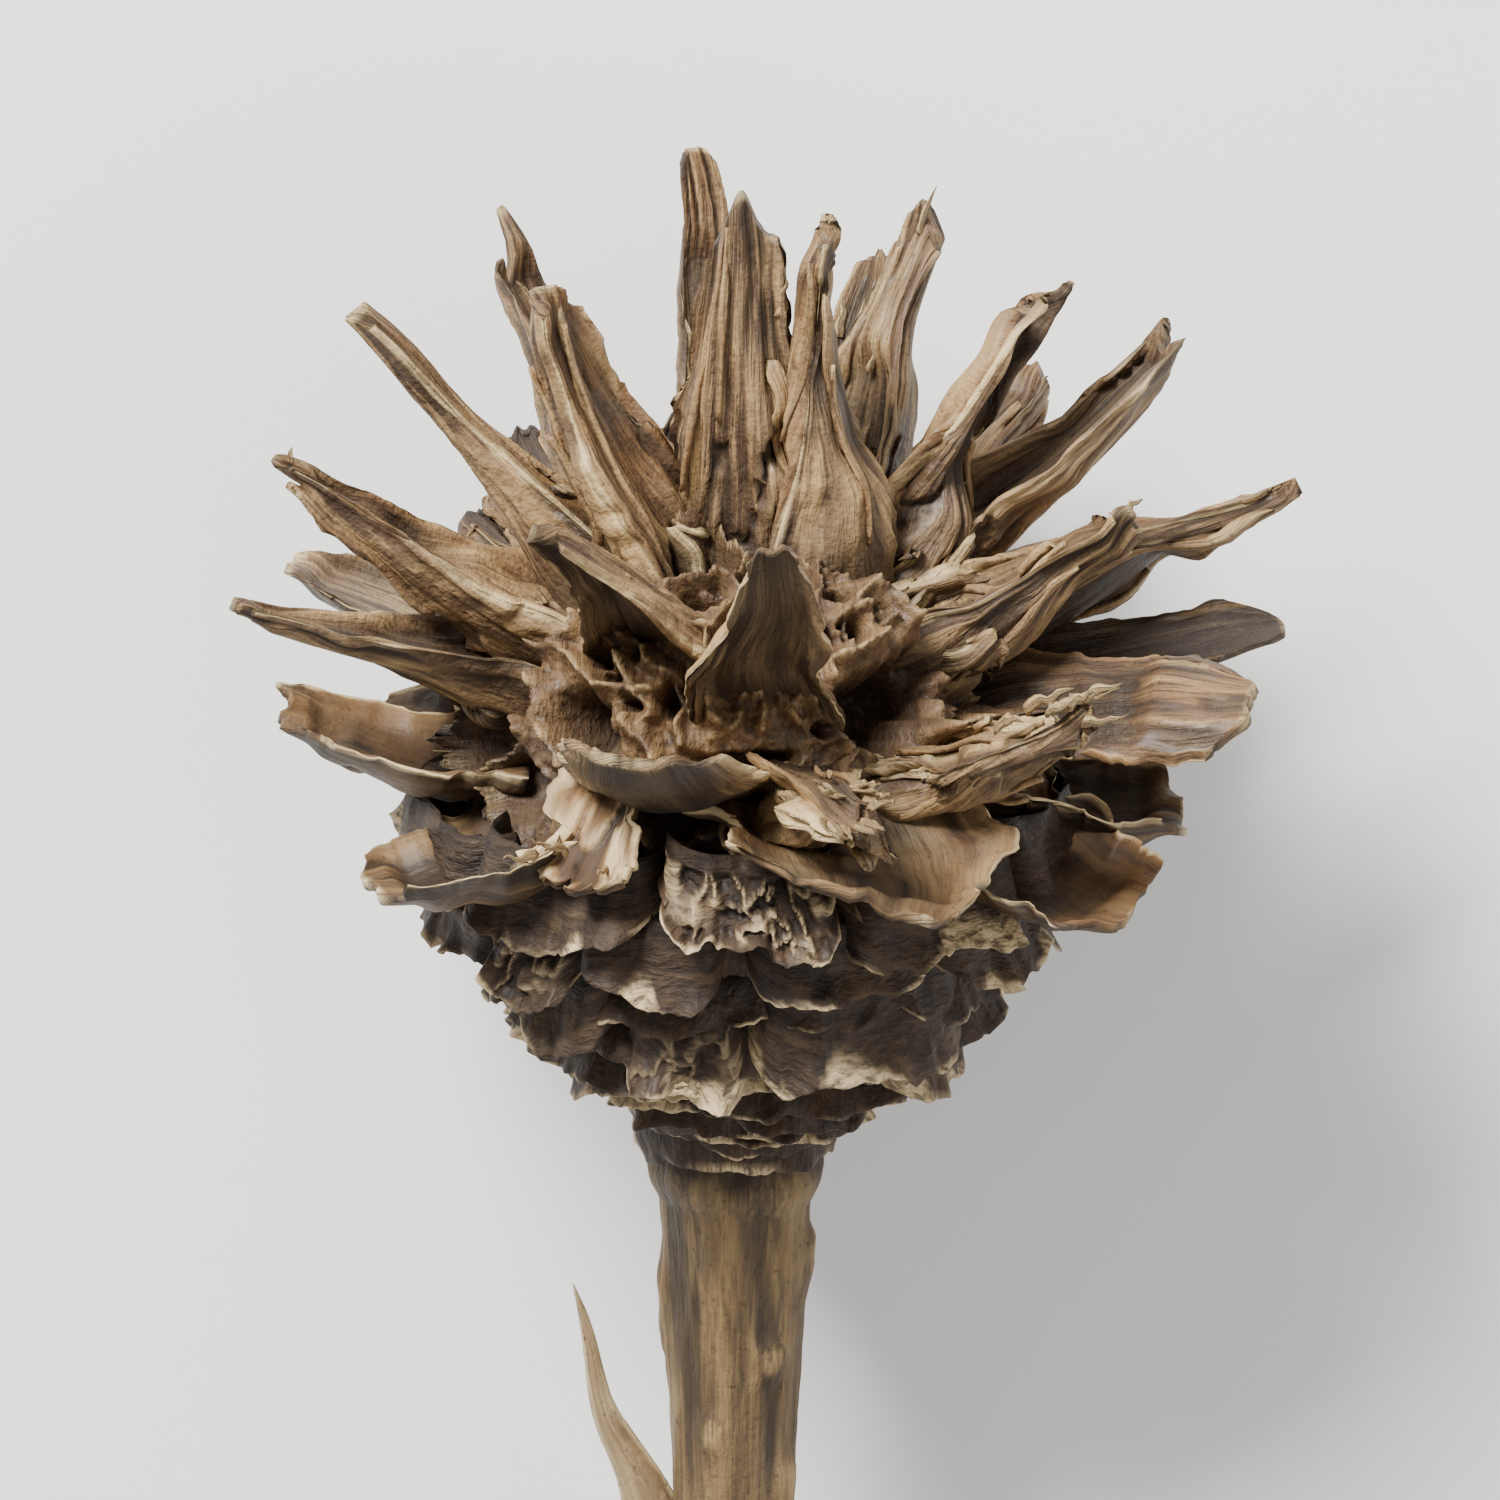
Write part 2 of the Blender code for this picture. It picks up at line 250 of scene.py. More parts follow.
def ring_angles(around):
    """The angles of around places round a ring, in one row, to spread over a surface's rows."""
    return 2 * np.pi * np.arange(around)[None, :] / around


def columns(*parts):
    """Numbers and arrays, all spread over the same surface, as the columns of one table of its points."""
    return np.stack(np.broadcast_arrays(*parts), -1).reshape(-1, len(parts))


def tube_faces(rows, around):
    """Faces of a tube of rows rings: a quad between each two neighbours on two rings."""
    row, place = np.meshgrid(np.arange(rows - 1), np.arange(around), indexing="ij")
    here, there = row * around, (row + 1) * around
    after = (place + 1) % around
    quads = np.stack([here + place, here + after, there + after, there + place], -1)
    return quads.reshape(-1, 4)


def strip_capped(rows, around):
    """Quads and triangles of a tube whose ends are closed by strips, each place to the one across."""
    near = np.arange(1, around // 2)
    over = around - near
    strips = np.stack([near[:-1], near[1:], over[1:], over[:-1]], -1)
    ends = np.array([[0, near[0], over[0]], [near[-1], around // 2, over[-1]]])
    last = (rows - 1) * around
    quads = np.concatenate([tube_faces(rows, around), strips[:, ::-1], strips + last])
    return quads, np.concatenate([ends[:, ::-1], ends + last])


def pole_capped(rows, around):
    """Quads and triangles of a tube whose ends are closed by fans on two more points, after its rings."""
    place = np.arange(around)
    after = (place + 1) % around
    end, first = (rows - 1) * around, rows * around
    fans = [columns(after, place, first), columns(place + end, after + end, first + 1)]
    return tube_faces(rows, around), np.concatenate(fans)


def distance_out(points):
    """0 in the head's heart to 1 at the bracts' ends: the distance from the centre, eased, which the
    finishes read as painted shade deep in the head.
    """
    return smooth(13.0, 22.0, np.linalg.norm(points, axis=-1))


def new_object(name, data):
    """An object with this mesh, lamp or camera, linked to the scene."""
    made = bpy.data.objects.new(name, data)
    bpy.context.scene.collection.objects.link(made)
    return made


def add_piece(name, patch, finish, slot, *nodes):
    """A mesh object from a patch, riding on the one body and standing for the CAD nodes named."""
    quads, triangles = facing_out(patch.points, patch.quads, patch.triangles)
    mesh = bpy.data.meshes.new(name)
    mesh.from_pydata(to_world(patch.points), [], quads.tolist() + triangles.tolist())
    mesh.polygons.foreach_set("use_smooth", np.ones(len(mesh.polygons), bool))
    corner = np.empty(len(mesh.loops), np.int64)
    mesh.loops.foreach_get("vertex_index", corner)
    mesh.uv_layers.new(name="grain").uv.foreach_set("vector", (patch.grain * MM)[corner].ravel())
    for key in ("wear_and_shade", "tone"):
        colours = np.concatenate([getattr(patch, key), np.ones((len(patch.points), 1))], 1)
        mesh.color_attributes.new(key, "FLOAT_COLOR", "POINT").data.foreach_set("color", colours.ravel())
    mesh.materials.append(finish)
    mesh.validate()
    piece = new_object(name, mesh)
    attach(piece, "root")
    if nodes:
        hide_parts(*nodes)
    return piece


# ---------------------------------------------------------------- bracts


@dataclass
class Shape:
    """How a bract is drawn, in millimetres. Rows of numbers run evenly from the root to the tip."""

    widths: tuple = (6.0, 5.4, 4.4, 3.4, 2.6, 2.0, 1.2)  # half widths
    thick: tuple = (2.2, 2.0, 1.7, 1.5, 1.2, 1.0, 0.7)  # half thicknesses
    cup: tuple = (4.6, 3.8, 2.0, 0.8, 0.4, 0.2)  # how far the edges stand up
    tip: tuple = (0.06, 0.02, 0.0, 0.03, 0.07)  # share of the length missing, from left to right
    scoop: float = 0.0  # how deep the lower face is hollowed; below nought, the upper face
    scooped: tuple = (0.3, 0.92)  # where along the bract the hollow begins and ends
    shade: float = 0.2  # how dark the hollow is
    fray: float = 0.07  # share of the length that the shortest fibres have lost
    splay: float = 0.4  # how far the broken ends stand apart
    notch: float = 0.16  # share of the width that the torn edges wander
    bow: float = 0.0  # how far the middle rises towards the growing tip
    sway: float = 0.0  # how far the middle swings to the right
    hook: float = 0.0  # how far the end curls towards the growing tip
    roll: float = 0.0  # degrees that the whole bract is turned about its length
    twist: float = 0.0  # degrees more at its end
    relief: float = 1.0  # depth of the fibres against the usual
    growth: float = 0.0  # height of the growth lines across a broad bract
    warmth: float = 0.5  # 0 grey and weathered, 1 orange
    pale: float = 0.0  # how much of the upper face is torn down to pale fibre
    lip: tuple = (0.3, 0.9)  # widths of the pale torn border at the sides and at the end
    slivers: int = 3  # loose splinters beside the end
    stumps: int = 2  # torn stubs round the foot
    strips: int = 4  # torn strips along the faces
    root_depth: float = 3.0  # how far the root runs on into the receptacle
    lean: tuple = (0.0, 0.0)  # how far the root and the tip are moved towards the stem
    shift: tuple = (0.0, 0.0, 0.0)  # degrees round the axis, degrees towards the stem, and out
    rows: int = 60
    around: int = 80


ROOT_FLARE = 0.25  # how much wider and thicker a bract is at its foot than its numbers say


def fibre_relief(lane, deep, y, seed):
    """Height of the split fibres: 0 to 1 for long sharp crests with finer ones on them, -0.5 in cracks.

    lane counts fibres across, and deep through the thickness. Crests are stretched along y, and wander
    sideways with a slow noise. A crack runs where one more noise crosses nought.
    """
    wander = lane + 0.5 * noise(y / 10, 0, 0, seed + 5)
    coarse = ridged(wander / 2.1, y / 24, deep / 2.1, seed)
    middle = ridged(wander / 0.85, y / 15, deep / 0.85, seed + 1)
    fine = ridged(wander / 0.36, y / 8, deep / 0.36, seed + 2)
    height = np.clip(1.6 * (0.5 * coarse + 0.36 * middle + 0.14 * fine) - 0.35, 0, 1)
    crack = smooth(0.88, 0.97, 1 - np.abs(noise(wander / 1.3, y / 20, deep / 1.3, seed + 3)))
    return height - (0.5 + height) * crack * smooth(-0.1, 0.25, noise(wander / 3, y / 9, 0, seed + 4))


def bract_section(shape, u, side, y_share, length, seed, sizes):
    """One bract's cross-sections: x across and z out of the upper face, at u across and y along.

    x is the half width times u, the half width wandering with noise and bitten by notches. z is plus
    or minus a thickness that falls off to the edges as a power of 1 - u^2. Both move along the
    section's own normal by the fibres, which deepen to the root. Then z gets a cup that rises with u
    squared, a hollow pressed into one face, and growth lines.
    """
    y = y_share * length
    flare = 1 + ROOT_FLARE * (1 - y_share) ** 2
    half = through(shape.widths, y_share) * flare
    edge = np.where(u > 0, 1.0, 2.0)
    wander = layered(y / 6, 7.3 * edge, 0, seed + 11, 5)
    bite = smooth(0.3, 0.6, noise(y / 3.5, 3.1 * edge, 0, seed + 12))
    bite = bite + 0.4 * smooth(0.4, 0.5, noise(y / 1.4, 5.1 * edge, 0, seed + 16))
    half = half * (1 + shape.notch * (wander * u**2 - 0.8 * bite * u**4))
    dome = np.sqrt(np.maximum(1 - u * u, 0.0))
    thick = through(shape.thick, y_share) * flare
    body = side * thick * np.where(side > 0, dome**0.8, dome**1.1)
    normal_x, normal_z = u / half, side * dome / thick
    size = np.hypot(normal_x, normal_z)
    begin, end = shape.scooped
    mask = smooth(begin, begin + 0.14, y_share) * (1 - smooth(end - 0.1, end, y_share))
    mask = mask * smooth(1.0, 0.5, np.abs(u) + 0.15 * noise(y / 3, edge, 0, seed + 13))
    pressed = shape.scoop * mask * np.where(side * shape.scoop < 0, 1.0, 0.65)
    bare = mask * (side * shape.scoop < 0)
    pitch = sizes.fibre_pitch / MM
    height = fibre_relief(u * np.mean(shape.widths) / pitch, body / pitch, y, seed + 20)
    depth = sizes.fibre_depth / MM * shape.relief * (1 + (1 - y_share) ** 2) * (1 - 0.8 * bare)
    depth = depth * smooth(0, 1.2, thick)
    x, z = half * u, body
    move = np.maximum(depth * (height - 0.6), -0.6 * thick)
    height = np.clip(height, 0, 1)
    move = move + 0.15 * layered(x / 1.6, y / 14, z / 1.6, seed + 30, 3) * smooth(0, 0.8, thick)
    x, z = x + move * normal_x / size, z + move * normal_z / size
    rings = shape.growth * noise(y / 1.1 + 1.5 * u * u, 0, 0, seed + 31)
    z = z + through(shape.cup, y_share) * (u * u - 0.3) + pressed + rings
    border = np.minimum((1 - np.abs(u)) * half / shape.lip[0], (1 - y_share) * length / shape.lip[1])
    border = border + 0.5 * noise(x / 0.9, y / 1.4, 0, seed + 14)
    torn = np.maximum(1 - smooth(0.3, 1.1, border), shape.pale * (side > 0) * smooth(0.35, 0.8, height))
    return x, z, height, bare, torn


def bract_patch(blade, shape, seed, sizes):
    """A bract as one closed surface over (place round the section, place along).

    Each section is laid across the line from the root to the tip. The line is bowed and swayed by
    4t(1 - t), hooked by t^4 and wanders a little, and the section is rolled, and turned further by the
    twist times t. Near the tip each bundle of fibres stops short by its own share: the end is torn.
    """
    turn = ring_angles(shape.around)
    t = np.linspace(0, 1, shape.rows)[:, None] ** 0.92
    u, side = np.cos(turn), np.where(np.sin(turn) >= 0, -1.0, 1.0)
    root = blade.root - tipward(blade.root) * shape.lean[0]
    tip = blade.tip - tipward(blade.tip) * shape.lean[1]
    direction = unit(tip - root)
    root = root - direction * shape.root_depth
    length = np.linalg.norm(tip - root)
    bundle = u * max(shape.widths[-2], 0.6) / (1.3 * sizes.fibre_pitch / MM)
    short = 0.5 + 0.5 * layered(bundle, 0, 0, seed + 1, 3)
    missing = through(shape.tip, (u + 1) / 2) + shape.fray * np.clip(short, 0, 1.4)
    share = t - missing * t**5
    x, z, height, bare, torn = bract_section(shape, u, side, share, length, seed, sizes)
    loose = shape.splay * t**7
    x = x + loose * noise(bundle, 5, 0, seed + 2)
    z = z + loose * 1.4 * noise(bundle * 0.9, 9, 0, seed + 3)
    across = unit(blade.across - direction * (blade.across @ direction))
    upper = np.cross(direction, across)
    angle = np.radians(shape.roll + shape.twist * share)[..., None]
    across_now = np.cos(angle) * across - np.sin(angle) * upper
    upper_now = np.cos(angle) * upper + np.sin(angle) * across
    hump = 4 * share * (1 - share)
    drift = 0.7 * hump * noise(share * 3, 0, 0, seed + 7), 0.7 * hump * noise(share * 3, 4, 0, seed + 7)
    line = root + (share * length)[..., None] * direction
    line = line + (shape.bow * hump + shape.hook * share**4 + drift[0])[..., None] * upper
    line = line + (shape.sway * hump + drift[1])[..., None] * across
    points = line + x[..., None] * across_now + z[..., None] * upper_now
    face = smooth(-0.25, 0.25, side * np.abs(np.sin(turn)))
    lane = u * np.mean(shape.widths) + 1.3 * np.sin(turn)
    return Patch(
        points.reshape(-1, 3),
        *strip_capped(shape.rows, shape.around),
        grain=columns(lane, share * length + 37.0 * (seed % 17)),
        wear_and_shade=columns(torn, bare, height),
        # Painted shade: darker deep in the head, and in the hollowed face by the shape's shade
        tone=columns(shape.warmth, distance_out(points) * (1 - shape.shade * bare), face),
    )


def sliver_patch(start, end, bend, radius, seed, warmth):
    """A splinter: a thin flat spindle from start to end, bowed by 4t(1 - t) along bend.

    Its radius falls from full at the start to a tenth at the end, roughened by noise.
    """
    rows, around = 10, 6
    t, turn = np.linspace(0, 1, rows)[:, None], ring_angles(around)
    direction = unit(end - start)
    one = unit(np.cross(direction, [0.31, 0.52, 0.79]))
    two = np.cross(direction, one)
    width = radius * (1 - 0.9 * t**1.5) * (1 + 0.4 * noise(t * 5, turn, 0, seed))
    line = start + t[..., None] * (end - start) + (4 * t * (1 - t))[..., None] * bend
    line = line + 0.6 * radius * noise(t * 6, 3, 0, seed + 1)[..., None] * one
    ring = np.cos(turn)[..., None] * one + 0.5 * np.sin(turn)[..., None] * two
    points = line + width[..., None] * ring
    wear_and_shade, tone = columns(0.5, 0.0, 0.6 + 0 * width), columns(warmth, distance_out(points), 1.0)
    grain = columns(radius * np.cos(turn), t * 5)
    return Patch(points.reshape(-1, 3), *strip_capped(rows, around), grain, wear_and_shade, tone)


def strip_patch(grid, column, first, last, half, lift, sway, seed, warmth):
    """A torn strip of fibre along a bract's face, made from the rings of points that the bract is.

    Its middle follows one point of each ring, smoothed, from the first share of the rings to the last.
    It stands a little off the face, and its end lifts by the cube of the way along and swings by the
    square. Its section is a flat oval, narrow at both ends and roughened by noise.
    """
    rows, around = 20, 10
    s, turn = np.linspace(0, 1, rows)[:, None], ring_angles(around)
    padded = np.pad(grid, ((3, 3), (0, 0), (0, 0)), "edge")
    soft = sum(padded[k : k + len(grid)] for k in range(7)) / 7
    at = (first + s[:, 0] * (last - first)) * (len(grid) - 2)
    low = np.floor(at).astype(int)
    rings = soft[low] + (at - low)[:, None, None] * (soft[low + 1] - soft[low])
    near = [rings[:, (column + k) % grid.shape[1]] for k in (-3, 0, 3)]
    line, lateral = near[1], unit(near[2] - near[0])
    tangent = unit(np.gradient(line, axis=0))
    off = unit(np.cross(tangent, lateral))
    off = off * np.sign(np.sum(off * (line - rings.mean(axis=1)), -1, keepdims=True))
    width = half * (1 - 0.65 * np.abs(2 * s - 1) ** 3) * (1 + 0.5 * noise(s * 6, 0, 0, seed))
    line = line + off * (0.1 + lift * s**3 + 0.25 * noise(s * 4, 3, 0, seed)) + lateral * sway * s**2
    rough = 1 + 0.3 * noise(s * 8, 2 * np.cos(turn), 2 * np.sin(turn), seed + 1)
    out, up = width * np.cos(turn) * rough, (0.18 + 0.2 * half) * np.sin(turn) * rough
    points = line[:, None] + out[..., None] * lateral[:, None] + up[..., None] * off[:, None]
    torn = 0.75 * smooth(0.5, 1, s) * smooth(-0.2, 0.4, noise(s * 5, 3 * turn, 0, seed + 2))
    # Painted light and shade: lighter on the side away from the bract's face, darker on the side against it
    wear_and_shade, tone = columns(torn, 0.0, 0.65 + 0.3 * np.sin(turn)), columns(warmth, distance_out(points), 0.8)
    grain = columns(out + seed % 7, s * (last - first) * 30)
    return Patch(points.reshape(-1, 3), *strip_capped(rows, around), grain, wear_and_shade, tone)


def strips_of(bract, shape, seed):
    """Torn strips that lie along both faces of a bract."""
    grid = bract.points[: shape.rows * shape.around].reshape(shape.rows, shape.around, 3)
    made = []
    for k in range(shape.strips):
        pick = picks(7, seed + 19 * k)
        column = round((0.11 + 0.28 * pick[0] + 0.5 * (k % 2)) * shape.around)
        first = 0.05 + 0.4 * pick[1]
        last = min(first + 0.3 + 0.5 * pick[2], 0.97)
        half, lift, sway = 0.3 + 0.6 * pick[3] ** 2, 0.9 * pick[4] ** 2, 1.6 * (pick[5] - 0.5)
        warmth = np.clip(shape.warmth + 0.5 * (pick[6] - 0.5), 0, 1)
        made.append(strip_patch(grid, column, first, last, half, lift, sway, seed + 3 * k, warmth))
    return made


def picks(count, seed):
    """count repeatable numbers from 0 to 1."""
    return lattice(np.arange(count), np.int64(1), np.int64(0), seed)


def slivers_of(blade, shape, seed):
    """Splinters that stand off a bract's outer half, each starting on it and leaning away."""
    direction = unit(blade.tip - blade.root)
    length = np.linalg.norm(blade.tip - blade.root)
    upper = unit(np.cross(direction, blade.across))
    made = []
    for k in range(shape.slivers):
        pick = picks(7, seed + 13 * k)
        at = 0.45 + 0.45 * pick[0]
        u = 1.7 * (pick[1] - 0.5)
        lift = (through(shape.thick, at) * 0.6) * (1 if pick[2] > 0.45 else -1) * math.sqrt(1 - u * u)
        hump = 4 * at * (1 - at)
        start = blade.root + direction * at * length
        start = start + blade.across * (u * through(shape.widths, at) + shape.sway * hump)
        start = start + upper * (lift + shape.bow * hump + shape.hook * at**4)
        run = (2.5 + 4.0 * pick[3]) * (1 - 0.35 * at)
        lean = blade.across * (0.6 * u + 0.4 * (pick[4] - 0.5)) + upper * (0.3 * np.sign(lift))
        end = start + direction * run + lean * (0.2 + 0.35 * pick[5]) * run
        bend = lean * 0.12 * run * (pick[6] - 0.3)
        made.append(sliver_patch(start, end, bend, 0.25 + 0.3 * pick[6], seed + 50 + k, shape.warmth))
    return made


def stumps_of(blade, count, seed, sizes):
    """Short torn stubs round a crown bract's foot, each a small bract that starts on the receptacle."""
    made = []
    for k in range(count):
        pick = picks(8, seed + 29 * k)
        east, south = (6 + 8 * pick[0]) * (1 if pick[1] > 0.5 else -1), 16 * (pick[2] - 0.55)
        here = moved(blade, east, south, 0.0)
        foot = unit(here.root) * STUMP_FOOT
        tip = foot + unit(here.tip - here.root) * (5.0 + 5.5 * pick[3]) + here.across * 2 * (pick[4] - 0.5)
        half = 1.3 + 1.6 * pick[5]
        shape = Shape(
            widths=(1.5 * half, 1.2 * half, half, 0.8 * half, 0.5 * half), thick=(1.1, 0.9, 0.7, 0.5, 0.35),
            cup=(1.0, 0.7, 0.3), tip=(0.3 * pick[6], 0.0, 0.15, 0.1, 0.3 * pick[7]), fray=0.45, splay=1.2,
            notch=0.3, roll=70 * (pick[4] - 0.5), warmth=0.6, pale=0.2, root_depth=1.0, rows=26, around=26,
        )
        made.append(bract_patch(Blade(foot, tip, here.across), shape, seed + 7 * k, sizes))
    return made


CROWN_USUAL = Shape(lip=(0.04, 0.6), scoop=-0.9, scooped=(0.28, 0.95))
BACK_SPIKE = replace(CROWN_USUAL, warmth=0.4)
HALF_PIPE = replace(CROWN_USUAL, scoop=-1.5, relief=0.9, strips=3)
CLEAN, CLEAN_PIPE = (replace(usual, fray=0.02, splay=0.1, slivers=0) for usual in (CROWN_USUAL, HALF_PIPE))

LEAF_FOOT = np.array([1.7, -2.6, -0.5])  # from the leaf solid's foot to where the leaf clasps the stem
LEAF_SHAPE = Shape(
    widths=(1.5, 2.0, 1.7, 1.25, 0.8, 0.5, 0.15), thick=(0.7, 0.5, 0.4, 0.35, 0.3, 0.2),
    cup=(0.8, 0.7, 0.5, 0.2), fray=0.01, splay=0.0, notch=0.08, hook=0.8, relief=0.4, root_depth=1.5,
    rows=70, around=40,
)

